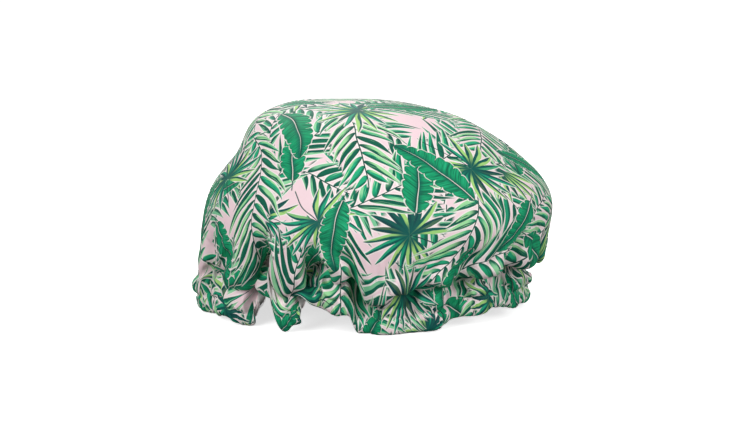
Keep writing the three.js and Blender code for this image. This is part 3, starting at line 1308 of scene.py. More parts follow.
@dataclass(frozen=True)
class ElasticBand:
    """The flat elastic, gathered in its channel, its ends lapped at the back.

    Its start and lap are in turns. It lies low above the hem and its inset in from the fabric.
    """

    cloth: Cloth
    width: float = 8.0
    thickness: float = 0.9
    low: float = 2.9
    inset: float = 1.35
    start: float = 0.262
    lap: float = 0.023
    lap_gap: float = 0.15
    steps: int = 420
    ribs: int = 5
    rib_depth: float = 0.12

    def place(self, turn: Array, up: float, inset: Array) -> Array:
        """Finds points in the channel.

        Args:
            turn: Places round the cap.
            up: Their height above the hem.
            inset: Their depth in from the fabric.

        Returns:
            A point for each place.
        """
        ring = self.cloth.grid.ring_at(up)
        points = smooth_ring(self.cloth.under[ring])
        normals = smooth_ring(self.cloth.even_normals[ring])
        places = along_ring(points, turn) - along_ring(normals, turn) * inset[:, None]
        return self.cloth.rolled(places, turn, np.full(len(turn), up))

    def build(self, material: Material) -> Object:
        """Makes the ribbon, with its woven ribs, and dresses it.

        Args:
            material: The elastic's material.

        Returns:
            The elastic.
        """
        along = np.linspace(0, 1 + self.lap, self.steps)
        turn = self.start + along
        near = self.inset + (1 - ease(self.lap, 1, along)) * (self.thickness + self.lap_gap)
        low = self.place(turn, self.low, near)
        high = self.place(turn, self.low + self.width, near)
        inward = self.place(turn, self.low, near + 1) - low
        shares = np.linspace(0, 1, 2 * self.ribs + 1)
        ribs = self.rib_depth * (1 - np.cos(FULL_TURN * self.ribs * shares))
        front = [low + (high - low) * s + inward * rib for s, rib in zip(shares, ribs)]
        back = [
            low + (high - low) * s + inward * (self.thickness - rib)
            for s, rib in zip(shares, ribs)
        ]
        made = lofted("woven_elastic", np.stack([*back, *reversed(front)], axis=1), False)
        run = np.concatenate([[0], np.cumsum(np.linalg.norm(np.diff(low, axis=0), axis=1))])
        wide = self.width * np.concatenate([shares, shares[::-1]])
        flat = np.stack(np.broadcast_arrays(run[:, None], wide[None, :]), axis=-1)
        add_flat_map(made, flat.reshape(-1, 2))
        return finish_piece(made, material, "elastic_band")


@dataclass(frozen=True)
class JoinStitches:
    """The zigzag thread that holds the elastic's lapped ends. Its length is in turns."""

    elastic: ElasticBand
    points: int = 17
    length: float = 0.017
    width: float = 5.4
    steps_per_leg: int = 6
    lift: float = 0.1
    hump: float = 0.12
    sides: int = 6

    def build(self, material: Material) -> Object:
        """Makes the thread and dresses it.

        Args:
            material: The thread's material.

        Returns:
            The thread.
        """
        elastic, last = self.elastic, self.points - 1
        legs = np.linspace(0, last, last * self.steps_per_leg + 1)
        turn = elastic.start + elastic.lap / 2 + (legs / last - 0.5) * self.length
        swing = 2 * np.abs(np.mod(legs, 2) - 1) - 1
        lift = self.lift + self.hump * np.sin(math.pi * np.mod(legs, 1))
        inset = elastic.inset - lift
        low = elastic.place(turn, elastic.low, inset)
        high = elastic.place(turn, elastic.low + elastic.width, inset)
        share = 0.5 + 0.5 * swing * self.width / elastic.width
        path = low + (high - low) * share[:, None]
        across = elastic.place(turn, elastic.low, inset - 1) - low
        radius = elastic.cloth.channel.thread / 2
        made = tube("elastic_zigzag", path, across, radius, self.sides, False)
        return finish_piece(made, material, "elastic_join_stitches")


@dataclass(frozen=True)
class StitchRow:
    """One thread of a row of stitches that runs right round the cap.

    Its dip, its hump over the cloth and the hump's power are shares of the thread's thickness.
    """

    name: str
    node: str
    slot: str
    up: float
    stitches: int
    inside: bool
    steps_per_stitch: int = 6
    dip: float = 0.45
    hump: float = 1.15
    hump_power: float = 0.5
    sides: int = 6

    def build(self, cloth: Cloth, lining: Array, material: Material) -> Object:
        """Makes the thread: it lies on the cloth along each stitch and dips in at both ends.

        Args:
            cloth: The shaped cloth.
            lining: The lining's points.
            material: The thread's material.

        Returns:
            The thread.
        """
        thread = cloth.channel.thread
        ring = cloth.grid.ring_at(self.up)
        steps = self.stitches * self.steps_per_stitch
        turn = np.arange(steps) / steps
        along = np.mod(turn * self.stitches, 1.0)
        surface = lining[ring] if self.inside else cloth.points[ring]
        normals = along_ring(cloth.even_normals[ring] * (-1 if self.inside else 1), turn)
        rise = thread * (-self.dip + self.hump * np.sin(math.pi * along) ** self.hump_power)
        path = along_ring(surface, turn) + normals * rise[:, None]
        path = on_ground(cloth.rolled(path, turn, np.full(steps, self.up)))
        made = tube(self.name, path, normals, thread / 2, self.sides, True)
        return finish_piece(made, material, self.node)


class Signal:
    """A value that a node tree works out at each point. Arithmetic on it adds Math nodes."""

    def __init__(self, nodes: "Nodes", socket: bpy.types.NodeSocket) -> None:
        """Wraps one output socket of a node tree."""
        self.nodes = nodes
        self.socket = socket

    def math(self, operation: str, *others: "Signal | float") -> "Signal":
        """Applies one Math node to this value and others."""
        return self.nodes.add("Math", self, *others, operation=operation)

    def __add__(self, other: "Signal | float") -> "Signal":
        """Adds."""
        return self.math("ADD", other)

    def __sub__(self, other: "Signal | float") -> "Signal":
        """Takes away."""
        return self.math("SUBTRACT", other)

    def __mul__(self, other: "Signal | float") -> "Signal":
        """Multiplies."""
        return self.math("MULTIPLY", other)

    def __truediv__(self, other: "Signal | float") -> "Signal":
        """Divides."""
        return self.math("DIVIDE", other)

    def __rsub__(self, other: float) -> "Signal":
        """Takes this value away from a plain number."""
        return self.nodes.add("Math", other, self, operation="SUBTRACT")

    def power(self, exponent: float) -> "Signal":
        """This value, no less than zero, to a power."""
        return self.math("MAXIMUM", 0.0).math("POWER", exponent)

    def magnitude(self) -> "Signal":
        """This value without its sign."""
        return self.math("ABSOLUTE")

    def signed(self) -> "Signal":
        """This value from 0 to 1, as one from -1 to 1."""
        return (self - 0.5) * 2

    def output(self, name: str) -> "Signal":
        """Another output of the node that this value comes from."""
        return Signal(self.nodes, self.socket.node.outputs[name])

    def outputs(self) -> tuple["Signal", ...]:
        """Every output of the node that this value comes from."""
        sockets = [socket for socket in self.socket.node.outputs if socket.enabled]
        return tuple(Signal(self.nodes, socket) for socket in sockets)


@dataclass(frozen=True)
class Step:
    """A soft step of a value: nothing at start, and the whole height from full on.

    Full may be below start, and then the step falls as the value grows. In the motifs, a step is
    named for the colour or the edge whose place it gives.
    """

    start: float
    full: float
    height: float = 1.0

    def of(self, value: Signal) -> Signal:
        """Works the step out.

        Args:
            value: The value that it is a step of.

        Returns:
            The step's height at each point.
        """
        step = value.nodes.add(
            "MapRange", value, self.start, self.full, 0.0, 1.0,
            interpolation_type="SMOOTHSTEP"
        )
        return step if self.height == 1 else step * self.height


class Nodes:
    """The node tree of a material or of the world, built by a few words of its own."""

    def __init__(self, owner: Material | bpy.types.World) -> None:
        """Empties the owner's tree."""
        owner.use_nodes = True
        self.tree = owner.node_tree
        self.tree.nodes.clear()

    def add(
        self, kind: str, *inputs: object, output: str | None = None, **settings: object
    ) -> Signal | None:
        """Adds a node, sets it up and links it.

        Args:
            kind: The node's type, without its leading ShaderNode.
            inputs: Signals, plain values or written colours for its input sockets, in order.
                None leaves one alone.
            output: Which output to give back, if not the first.
            settings: Attributes of the node.

        Returns:
            The chosen output, if the node has any.
        """
        node = self.tree.nodes.new("ShaderNode" + kind)
        for name, value in settings.items():
            setattr(node, name, value)
        enabled = [socket for socket in node.inputs if socket.enabled]
        for socket, value in zip(enabled, inputs):
            self.feed(socket, value)
        given = [socket for socket in node.outputs if socket.enabled]
        if not given:
            return None
        return Signal(self, node.outputs[output] if output else given[0])

    def feed(self, socket: bpy.types.NodeSocket, value: object) -> None:
        """Links a signal to an input socket, or writes a plain value or a colour into it.

        Args:
            socket: The input socket.
            value: A signal, a number, a tuple, a written colour, or None to leave it alone.
        """
        if isinstance(value, Signal):
            self.tree.links.new(value.socket, socket)
        elif value is not None:
            socket.default_value = to_linear(value) if isinstance(value, str) else value

    def paint(self, ground: Signal | str, *coats: tuple[Signal | float, Signal | str]) -> Signal:
        """Lays coats of colour over a ground, one after another.

        Args:
            ground: The colour underneath.
            coats: How much of each coat covers what is below it, and its colour.

        Returns:
            The colour after the last coat.
        """
        seen = ground
        for share, colour in coats:
            seen = self.add("Mix", share, seen, colour, data_type="RGBA")
        return seen


class Shader(Nodes):
    """A material's node tree."""

    def __init__(self, name: str) -> None:
        """Starts an empty material."""
        self.material = bpy.data.materials.new(name)
        super().__init__(self.material)

    def cloth_place(self) -> Signal:
        """The place on the flat cloth in millimetres, from its UV map."""
        place, span = self.add("UVMap", uv_map=CLOTH_UV), (CLOTH_UV_SPAN,) * 2
        return self.add("VectorMath", place, (*span, 0), operation="MULTIPLY")

    def surface(
        self, base: Signal | str, roughness: float, height: Signal, strength: float, **more: float
    ) -> None:
        """Ends the tree in a Principled shader.

        Args:
            base: The base colour.
            roughness: The roughness.
            height: The surface's height in millimetres, for its bump.
            strength: The strength of that bump.
            more: Further sockets by name, with underscores for spaces.
        """
        shaded = self.add("BsdfPrincipled")
        bump = self.add("Bump", strength, METRES, None, height)
        values = {"Base_Color": base, "Roughness": roughness, "Normal": bump, **more}
        for name, value in values.items():
            self.feed(shaded.socket.node.inputs[name.replace("_", " ")], value)
        self.finish(shaded)

    def finish(self, surface: Signal) -> None:
        """Ends the tree in a surface."""
        self.add("OutputMaterial", surface)


@dataclass(frozen=True)
class MotifSpot:
    """One motif's own place in a layer of the print: millimetres and its random numbers."""

    x: Signal
    y: Signal
    chance: tuple[Signal, Signal, Signal]
    key: Signal

    def by_index(self, index: Signal, other: Signal | float) -> tuple[Signal, ...]:
        """Draws random numbers for a part of this motif.

        Args:
            index: The number of the leaflet or blade.
            other: A second number that tells such parts apart.

        Returns:
            Three numbers from 0 to 1.
        """
        nodes = self.x.nodes
        place = nodes.add("CombineXYZ", index, other, self.key)
        noise = nodes.add("TexWhiteNoise", place, output="Color", noise_dimensions="3D")
        return nodes.add("SeparateXYZ", noise).outputs()

    def beside_rib(self, bend: float) -> Signal:
        """How far each point is beside a rib along the motif's x, bent at random."""
        return self.y + self.x * self.x * (self.chance[0].signed() * bend)


@dataclass(frozen=True)
class MotifGrid:
    """Lays one motif in each cell of a turned grid on the flat cloth.

    The angle and the spin are in degrees. The shifts are shares of a cell: each row starts by one
    further along than the row before it, and each layer by the other.
    """

    seed: int
    angle: float
    cell: tuple[float, float]
    jitter: float
    spin: float
    row_shift: float = 0.39
    layer_shift: float = 0.37
    key_scale: float = 97.0

    def spot(self, cloth: Signal) -> MotifSpot:
        """Finds the cell of each place on the cloth.

        Args:
            cloth: The place on the flat cloth.

        Returns:
            The cell's motif, with coordinates of its own.
        """
        nodes = cloth.nodes
        turned = self._turned(cloth, math.radians(self.angle))
        across, up, _ = nodes.add("SeparateXYZ", turned).outputs()
        rows = up / self.cell[1] + self.layer_shift * self.seed
        row = rows.math("FLOOR")
        columns = across / self.cell[0] + row * self.row_shift
        key = nodes.add("CombineXYZ", columns.math("FLOOR"), row, float(self.seed))
        noise = nodes.add("TexWhiteNoise", key, noise_dimensions="3D")
        value, colour = noise.outputs()
        chance = nodes.add("SeparateXYZ", colour).outputs()
        x = (columns.math("FRACT") - 0.5) * self.cell[0] + chance[0].signed() * self.jitter
        y = (rows.math("FRACT") - 0.5) * self.cell[1] + chance[1].signed() * self.jitter
        place = nodes.add("CombineXYZ", x, y, 0.0)
        local = self._turned(place, chance[2].signed() * math.radians(self.spin))
        x, y, _ = nodes.add("SeparateXYZ", local).outputs()
        return MotifSpot(x, y, chance, value * self.key_scale)

    @staticmethod
    def _turned(place: Signal, angle: Signal | float) -> Signal:
        """A place turned about the middle by an angle in radians."""
        kind, middle = "VectorRotate", (0, 0, 0)
        return place.nodes.add(kind, place, middle, angle, rotation_type="Z_AXIS")


@dataclass(frozen=True)
class Drawn:
    """A drawn motif: the ground it clears, how far it covers, its pale halo and its colour."""

    clear: Signal
    cover: Signal
    halo: Signal
    colour: Signal


@dataclass(frozen=True)
class Brush:
    """A brush whose streaks change fast across a leaflet and slowly along it.

    The pitches are streaks per millimetre.
    """

    across: float = 0.9
    along: float = 0.09
    detail: float = 1.0
    roughness: float = 0.6

    def streaks(self, across: Signal, along: Signal, key: Signal) -> Signal:
        """Draws the streaks.

        Args:
            across: Millimetres across the leaflet.
            along: Millimetres along it, scaled to streaks where along is 1.
            key: A number of its own for each leaflet.

        Returns:
            A number round 0.5 at each point.
        """
        place = across.nodes.add("CombineXYZ", across * self.across, along, key)
        return across.nodes.add(
            "TexNoise", place, 1.0, self.detail, self.roughness, noise_dimensions="3D"
        )


@dataclass(frozen=True)
class Frond:
    """A palm frond: narrow leaflets that lean forward on both sides of a thin bent rib.

    The length, reach, pitch, half widths and what goes past the end are in millimetres. The lean
    is millimetres forward for each one out, the curl more of it for each, and the splay a random
    lean.
    """

    length: float = 122.0
    reach: float = 30.0
    pitch: float = 9.2
    half_leaflet: float = 3.1
    half_rib: float = 0.5
    rib_halo: float = 1.5
    past_end: float = 4.0
    bend: float = 0.0042
    lean: float = 0.78
    curl: float = 0.011
    splay: float = 0.24
    squeeze: float = 0.8
    taper: float = 0.42
    least_reach: float = 0.7
    random_reach: float = 0.42
    belly_power: float = 0.55
    belly_scale: float = 2.7
    cleared: float = 0.7
    clear_edge: Step = Step(0.0, 3.0)
    clear_reach: Step = Step(2.0, 6.0)
    edge: Step = Step(0.05, 0.3)
    halo_edge: Step = Step(-1.2, -0.5)
    middle_chance: Step = Step(0.25, 0.55)
    light_rare: float = 0.7
    light_streak: float = 1.6
    light_side: float = 0.2
    light_edge: Step = Step(-0.1, 0.1)
    light_out: Step = Step(0.05, 0.35)
    shade_streak: float = -1.4
    shade_side: float = 0.3
    shade_edge: Step = Step(0.05, 0.3, 0.9)
    root_ink: Step = Step(0.2, 0.0, 0.7)
    outline: Step = Step(0.55, 0.35)
    outline_side: Step = Step(-0.2, 0.6)
    outline_ink: float = 0.6
    rib_end: Step = Step(0.0, 2.0)
    rib_edge: Step = Step(0.0, 0.2)
    rib_halo_edge: Step = Step(0.0, 0.3)
    brush: Brush = Brush()
    index_key: float = 7.3
    hand_key: float = 3.1
    dark: str = "#0f5f4a"
    middle: str = "#1fa475"
    light: str = "#94d7a4"
    ink: str = "#164a42"

    def draw(self, spot: MotifSpot) -> Drawn:
        """Draws the frond round its rib, which runs along the motif's x.

        Args:
            spot: The motif's place.

        Returns:
            The drawn frond.
        """
        side = spot.beside_rib(self.bend)
        away = side.magnitude()
        hand = side.math("GREATER_THAN", 0.0)
        root = spot.x - away * self.lean - away * away * self.curl + hand * (0.5 * self.pitch)
        index = (root / self.pitch).math("ROUND")
        lively = spot.by_index(index, hand)
        off = (root - index * self.pitch) * self.squeeze + (lively[1] - 0.5) * away * self.splay
        share = index * (2 * self.pitch / self.length)
        envelope = (1 - share * share).power(self.taper) * self.reach
        clear = self.clear_edge.of(envelope * self.cleared - away) * self.clear_reach.of(envelope)
        reach = envelope * (lively[0] * self.random_reach + self.least_reach)
        out = away / reach.math("MAXIMUM", 0.01)
        belly = out.power(self.belly_power) * (1 - out) * self.belly_scale
        within = belly * self.half_leaflet - off.magnitude()
        inside = self.rib_end.of(0.5 * self.length + self.past_end - spot.x.magnitude())
        rib = self.rib_edge.of(self.half_rib - away) * inside
        halo = self.halo_edge.of(within) * self.edge.of(belly)
        rib_halo = self.rib_halo_edge.of(self.rib_halo - away) * inside
        key = index * self.index_key + hand * self.hand_key + spot.key
        streak = self.brush.streaks(off, away * self.brush.along, key)
        light = lively[2] - self.light_rare + (streak - 0.5) * self.light_streak
        light = self.light_edge.of(light - off * self.light_side)
        shade = (streak - 0.5) * self.shade_streak + off * self.shade_side
        outline = self.outline.of(within) * self.outline_side.of(off) * self.outline_ink
        tone = side.nodes.paint(
            self.dark,
            (self.middle_chance.of(lively[1]), self.middle),
            (light * self.light_out.of(out), self.light),
            (self.shade_edge.of(shade), self.dark),
            (self.root_ink.of(out), self.ink),
            (outline, self.ink),
            (rib, self.ink),
        )
        cover = self.edge.of(within).math("MAXIMUM", rib)
        return Drawn(clear, cover, halo.math("MAXIMUM", rib_halo), tone)


@dataclass(frozen=True)
class FanPalm:
    """A fan palm: pointed blades that spread from a dark hub on a thin stalk.

    The reach and half widths are in millimetres. The gap is the blades left out at the stalk.
    """

    reach: float = 37.0
    blades: int = 19
    gap: float = 1
    half_blade: float = 2.6
    half_stalk: float = 0.5
    twist: float = 0.012
    splay: float = 2.4
    least_reach: float = 0.74
    random_reach: float = 0.3
    belly_power: float = 0.75
    belly_scale: float = 3.2
    belly_round: float = 0.72
    clear_start: float = 0.66
    clear_full: float = 0.56
    edge: Step = Step(0.05, 0.3)
    halo_edge: Step = Step(-1.1, -0.4)
    light_chance: Step = Step(0.45, 0.55)
    shade_streak: float = 1.4
    shade_side: float = 0.55
    shade_edge: Step = Step(-0.1, 0.2)
    ink_chance: Step = Step(0.3, 0.26, 0.85)
    outline: Step = Step(0.5, 0.3)
    outline_side: Step = Step(-0.3, 0.5)
    outline_ink: float = 0.6
    hub: Step = Step(13.0, 4.0, 0.9)
    stalk_edge: Step = Step(0.0, 0.2)
    stalk_start: Step = Step(0.0, -0.5)
    stalk_past: float = 1.05
    brush: Brush = Brush()
    index_key: float = 5.9
    blade_key: float = 3.0
    dark: str = "#115b54"
    middle: str = "#25a27a"
    light: str = "#a3d57c"
    ink: str = "#154548"

    def draw(self, spot: MotifSpot) -> Drawn:
        """Draws the fan round the motif's middle, its stalk towards -x.

        Args:
            spot: The motif's place.

        Returns:
            The drawn fan.
        """
        away = (spot.x * spot.x + spot.y * spot.y).math("SQRT")
        turn = spot.y.math("ARCTAN2", spot.x) + away * ((spot.chance[1] - 0.5) * self.twist)
        pitch = FULL_TURN / self.blades
        index = (turn / pitch).math("ROUND")
        lively = spot.by_index(index, self.blade_key)
        out = away / ((lively[0] * self.random_reach + self.least_reach) * self.reach)
        belly = out.power(self.belly_power) * (1 - out) * self.belly_scale
        belly = belly.power(self.belly_round)
        off = (turn - index * pitch) * away + (lively[1] - 0.5) * self.splay * out
        shown = index.magnitude().math("LESS_THAN", self.blades / 2 - self.gap)
        within = belly * self.half_blade - off.magnitude()
        cover = self.edge.of(within) * shown
        halo = self.halo_edge.of(within) * self.edge.of(belly) * shown
        key = index * self.index_key + spot.key
        streak = self.brush.streaks(off, away * self.brush.along, key)
        shade = (streak - 0.5) * self.shade_streak + off * self.shade_side
        outline = self.outline.of(within) * self.outline_side.of(off) * self.outline_ink
        stalk = self.stalk_edge.of(self.half_stalk - spot.y.magnitude())
        stalk_end = Step(-self.stalk_past * self.reach, -1.0 * self.reach)
        stalk = stalk * self.stalk_start.of(spot.x) * stalk_end.of(spot.x)
        tone = away.nodes.paint(
            self.middle,
            (self.light_chance.of(lively[2]), self.light),
            (self.shade_edge.of(shade), self.dark),
            (self.ink_chance.of(lively[0]), self.ink),
            (outline, self.ink),
            (self.hub.of(away), self.dark),
            (stalk, self.ink),
        )
        clear = Step(self.clear_start * self.reach, self.clear_full * self.reach).of(away)
        return Drawn(clear * shown, cover.math("MAXIMUM", stalk), halo, tone)


@dataclass(frozen=True)
class BroadLeaf:
    """A broad leaf like a banana's: torn wavy edges, fine veins and a pale midrib.

    The length, half widths, tear pitch and stalk are in millimetres.
    """

    length: float = 60.0
    half_width: float = 12.0
    tear_pitch: float = 7.5
    bend: float = 0.0075
    vein_lean: float = 0.55
    vein_stagger: float = 3.7
    tear_shift: float = 5
    tear_depth: float = 0.5
    tear_power: float = 5.0
    wave_depth: float = 0.14
    oval_power: float = 0.55
    root_width: float = 1.12
    narrowing: float = 0.3
    edge: Step = Step(0.05, 0.35)
    halo_edge: Step = Step(-0.8, -0.4)
    halo_end: Step = Step(0.05, 0.2)
    brush: Brush = Brush(across=0.85, along=0.05, detail=2.0, roughness=0.7)
    hand_key: float = 9
    middle_streak: Step = Step(0.4, 0.52)
    light_streak: Step = Step(0.56, 0.68)
    light_out: Step = Step(2.0, 9.0)
    light_share: float = 0.8
    shaded: float = 4.4
    shade_edge: Step = Step(0.0, 4.0, 0.75)
    outline: Step = Step(1.1, 0.3, 0.6)
    line_out: float = 1.5
    line_edge: Step = Step(0.0, 0.3)
    line_start: Step = Step(0.3, 0.6)
    line_ink: float = 0.85
    half_rib: float = 0.5
    rib_taper: float = 0.35
    rib_edge: Step = Step(0.0, 0.2)
    rib_end: Step = Step(0.95, 0.8)
    half_stalk: float = 0.6
    stalk_length: float = 8.0
    stalk_edge: Step = Step(0.0, 0.25)
    stalk_start: Step = Step(1.0, 0.0)
    stalk_end: Step = Step(0.0, 1.0)
    dark: str = "#106f50"
    middle: str = "#189c6a"
    light: str = "#2ebb88"
    rib_shade: str = "#155a50"
    midrib: str = "#e4dcd4"
    ink: str = "#0f4a3c"

    def draw(self, spot: MotifSpot) -> Drawn:
        """Draws the leaf along the motif's x, its tip towards +x.

        Args:
            spot: The motif's place.

        Returns:
            The drawn leaf.
        """
        side = spot.beside_rib(self.bend)
        away = side.magnitude()
        hand = side.math("GREATER_THAN", 0.0)
        along = spot.x / self.length + 0.5
        vein = spot.x - away * self.vein_lean + hand * self.vein_stagger
        tears = vein / self.tear_pitch + spot.chance[1] * self.tear_shift
        tear = tears.math("FRACT")
        lively = spot.by_index(tears.math("FLOOR"), hand)
        torn = 1 - tear.power(self.tear_power) * (lively[0] * self.tear_depth)
        torn = torn - (tear - 0.5).magnitude() * self.wave_depth
        ovate = (along * (1 - along) * 4).power(self.oval_power)
        ovate = ovate * (self.root_width - along * self.narrowing)
        within = ovate * torn * self.half_width - away
        cover = self.edge.of(within)
        halo = self.halo_edge.of(within) * self.halo_end.of(ovate)
        out = away * self.brush.along + hand * self.hand_key
        streak = self.brush.streaks(vein, out, spot.key)
        light = self.light_streak.of(streak) * self.light_out.of(away) * self.light_share
        line = self.line_edge.of(self.line_out - side) * self.line_start.of(side)
        rib = self.rib_edge.of(self.half_rib - along * self.rib_taper - away)
        stalk_along = spot.x + 0.5 * self.length
        stalk = self.stalk_edge.of(self.half_stalk - away) * self.stalk_start.of(stalk_along)
        stalk = stalk * self.stalk_end.of(stalk_along + self.stalk_length)
        tone = side.nodes.paint(
            self.dark,
            (self.middle_streak.of(streak), self.middle),
            (light, self.light),
            (self.shade_edge.of(self.shaded - away), self.rib_shade),
            (self.outline.of(within), self.ink),
            (line * self.line_ink, self.ink),
            (rib * self.rib_end.of(along), self.midrib),
            (stalk, self.rib_shade),
        )
        return Drawn(cover, cover.math("MAXIMUM", stalk), halo, tone)


@dataclass(frozen=True)
class LeafPrint:
    """The tropical leaf print: fronds, fan palms and broad leaves on a pale pink ground.

    It is drawn in the flat cloth's millimetres, in layers. The layout and every motif are generic
    ones of their own. The wobble is in millimetres, and its scale in bends per millimetre.
    """

    ground: str = "#f3d7dd"
    pale: str = "#f4f0ea"
    halo_strength: float = 0.75
    wobble: float = 4.0
    wobble_scale: float = 0.022
    layers: tuple[tuple[MotifGrid, Frond | FanPalm | BroadLeaf], ...] = (
        (
            MotifGrid(27, -76.0, (126.0, 70.0), 4.0, 12.0),
            Frond(middle="#259a73", light="#7cc698"),
        ),
        (
            MotifGrid(3, 24.0, (130.0, 72.0), 5.0, 14.0),
            Frond(middle="#219870", light="#7cc698"),
        ),
        (MotifGrid(5, 63.0, (94.0, 94.0), 9.0, 180.0), FanPalm(reach=36.0)),
        (MotifGrid(8, -38.0, (138.0, 80.0), 5.0, 14.0), Frond()),
        (MotifGrid(11, 12.0, (90.0, 90.0), 9.0, 180.0), BroadLeaf()),
        (
            MotifGrid(14, 95.0, (138.0, 86.0), 6.0, 16.0),
            Frond(middle="#27ad7c", light="#9fdca0"),
        ),
        (MotifGrid(17, 40.0, (108.0, 108.0), 12.0, 180.0), FanPalm()),
        (
            MotifGrid(21, 71.0, (98.0, 98.0), 9.0, 180.0),
            BroadLeaf(length=68.0, half_width=13.0),
        ),
    )

    def colour(self, shader: Shader) -> Signal:
        """Draws the whole print.

        Args:
            shader: The material's tree.

        Returns:
            The print's colour.
        """
        vector, middle, twice = "VectorMath", (0.5,) * 3, (self.wobble * 2,) * 3
        cloth = shader.cloth_place()
        drift = shader.add(
            "TexNoise",
            cloth,
            self.wobble_scale,
            1.0,
            0.5,
            output="Color",
            noise_dimensions="2D",
        )
        drift = shader.add(vector, drift, middle, operation="SUBTRACT")
        drift = shader.add(vector, drift, twice, operation="MULTIPLY")
        cloth = shader.add(vector, cloth, drift, operation="ADD")
        seen: Signal | str = self.ground
        for grid, motif in self.layers:
            drawn = motif.draw(grid.spot(cloth))
            seen = shader.paint(
                seen,
                (drawn.clear, self.ground),
                (drawn.halo * self.halo_strength, self.pale),
                (drawn.cover, drawn.colour),
            )
        return seen


@dataclass(frozen=True)
class PrintedSatin:
    """Woven polyester satin, printed.

    Its fine flat yarns lie almost unbroken, so the eye sees a smooth cloth with a soft, broad
    gleam and no weave at arm's length, small crinkles, and pinched creases near the gathers. The
    real yarns lie about 0.1 mm apart. That is too fine to show, so they are drawn three times as
    coarse.
    """

    leaves: LeafPrint = LeafPrint()
    roughness: float = 0.58
    sheen: float = 0.01
    sheen_roughness: float = 0.4
    specular: float = 0.12
    bump: float = 0.7
    yarn_pitch: float = 0.3
    yarn_depth: float = 0.012
    yarn_break: float = 0.4
    crinkle_size: float = 7.0
    crinkle_depth: float = 0.3
    crease_pitch: float = 5.5
    crease_length: float = 26.0
    crease_depth: float = 1.5
    creased_from: float = 205.0
    creased_to: float = 250.0

    def material(self) -> Material:
        """Makes the material.

        Returns:
            The material.
        """
        shader = Shader("printed_polyester_satin")
        print_colour = self.leaves.colour(shader)
        place = shader.cloth_place()
        along, across, _ = shader.add("SeparateXYZ", place).outputs()
        crinkle = shader.add(
            "TexNoise", place, 1 / self.crinkle_size, 2.0, 0.45, noise_dimensions="2D"
        )
        yarn = (across * (FULL_TURN / self.yarn_pitch)).math("SINE")
        yarn = yarn * (along * (self.yarn_break / self.yarn_pitch)).math("SINE")
        height = crinkle * self.crinkle_depth + yarn * self.yarn_depth
        shader.surface(
            print_colour,
            self.roughness,
            height + self.creases(along, across),
            self.bump,
            Sheen_Weight=self.sheen,
            Sheen_Roughness=self.sheen_roughness,
            Specular_IOR_Level=self.specular,
        )
        LOG.info("print: %d nodes", len(shader.tree.nodes))
        return shader.material

    def creases(self, along: Signal, across: Signal) -> Signal:
        """Draws the fine pinched creases that run towards the hem.

        Args:
            along: The place on the flat cloth, X.
            across: The place on the flat cloth, Y.

        Returns:
            Their height in millimetres, nothing on the crown and full by the elastic.
        """
        x, y = along - 0.5 * CLOTH_UV_SPAN, across - 0.5 * CLOTH_UV_SPAN
        radius = (x * x + y * y).math("SQRT")
        turned = y.math("ARCTAN2", x) * (self.creased_to / self.crease_pitch)
        run = radius / self.crease_length
        place = along.nodes.add("CombineXYZ", turned, run, 0.0)
        crease = along.nodes.add("TexNoise", place, 1.0, 1.0, 0.5, 2.0, 0.4, noise_dimensions="2D")
        shown = Step(self.creased_from, self.creased_to).of(radius)
        return (crease - 0.5).magnitude() * shown * self.crease_depth


@dataclass(frozen=True)
class MilkyFilm:
    """Thin PEVA film, calendered.

    It is pale and milky, with the broken, wet-looking gloss of a soft crinkled plastic sheet.
    """

    colour: str = "#dcdad7"
    roughness: float = 0.36
    ior: float = 1.48
    bump: float = 0.8
    crease_size: float = 11.0
    crease_depth: float = 1.1
    dimple_size: float = 2.4
    dimple_depth: float = 0.12

    def material(self) -> Material:
        """Makes the material.

        Returns:
            The material.
        """
        shader = Shader("milky_peva_film")
        noise, place = "TexNoise", shader.cloth_place()
        crease = shader.add(noise, place, 1 / self.crease_size, 3.0, 0.55, noise_dimensions="2D")
        dimple = shader.add(noise, place, 1 / self.dimple_size, 1.0, 0.5, noise_dimensions="2D")
        height = (crease - 0.5).magnitude() * self.crease_depth + dimple * self.dimple_depth
        shader.surface(self.colour, self.roughness, height, self.bump, IOR=self.ior)
        return shader.material


@dataclass(frozen=True)
class WovenElastic:
    """Flat woven polyester elastic.

    It is matt and slightly fuzzy, with fine weft lines across the ribs that its shape has. The low
    parts of the weft are painted a darker grey: painted shade in the grooves.
    """

    colour: str = "#f2f0eb"
    # Painted shade: the darker grey laid in the low parts of the weave.
    groove_shade: str = "#d9d6d0"
    roughness: float = 0.86
    sheen: float = 0.1
    bump: float = 0.8
    weft_pitch: float = 0.55
    weft_depth: float = 0.1
    rib_pitch: float = 3.2
    groove_shade_edge: Step = Step(-1.0, 0.4)

    def material(self) -> Material:
        """Makes the material.

        Returns:
            The material.
        """
        shader = Shader("woven_polyester_elastic")
        place = shader.cloth_place()
        along, across, _ = shader.add("SeparateXYZ", place).outputs()
        weft = (along * (FULL_TURN / self.weft_pitch)).math("SINE")
        weft = weft * (across * (FULL_TURN / self.rib_pitch)).math("SINE")
        # Painted shade: the low parts of the weft bump get the darker grey, as if shaded in the
        # grooves.
        tone = shader.paint(self.groove_shade, (self.groove_shade_edge.of(weft) * 0.5 + 0.5, self.colour))
        height = weft * self.weft_depth
        shader.surface(tone, self.roughness, height, self.bump, Sheen_Weight=self.sheen)
        return shader.material


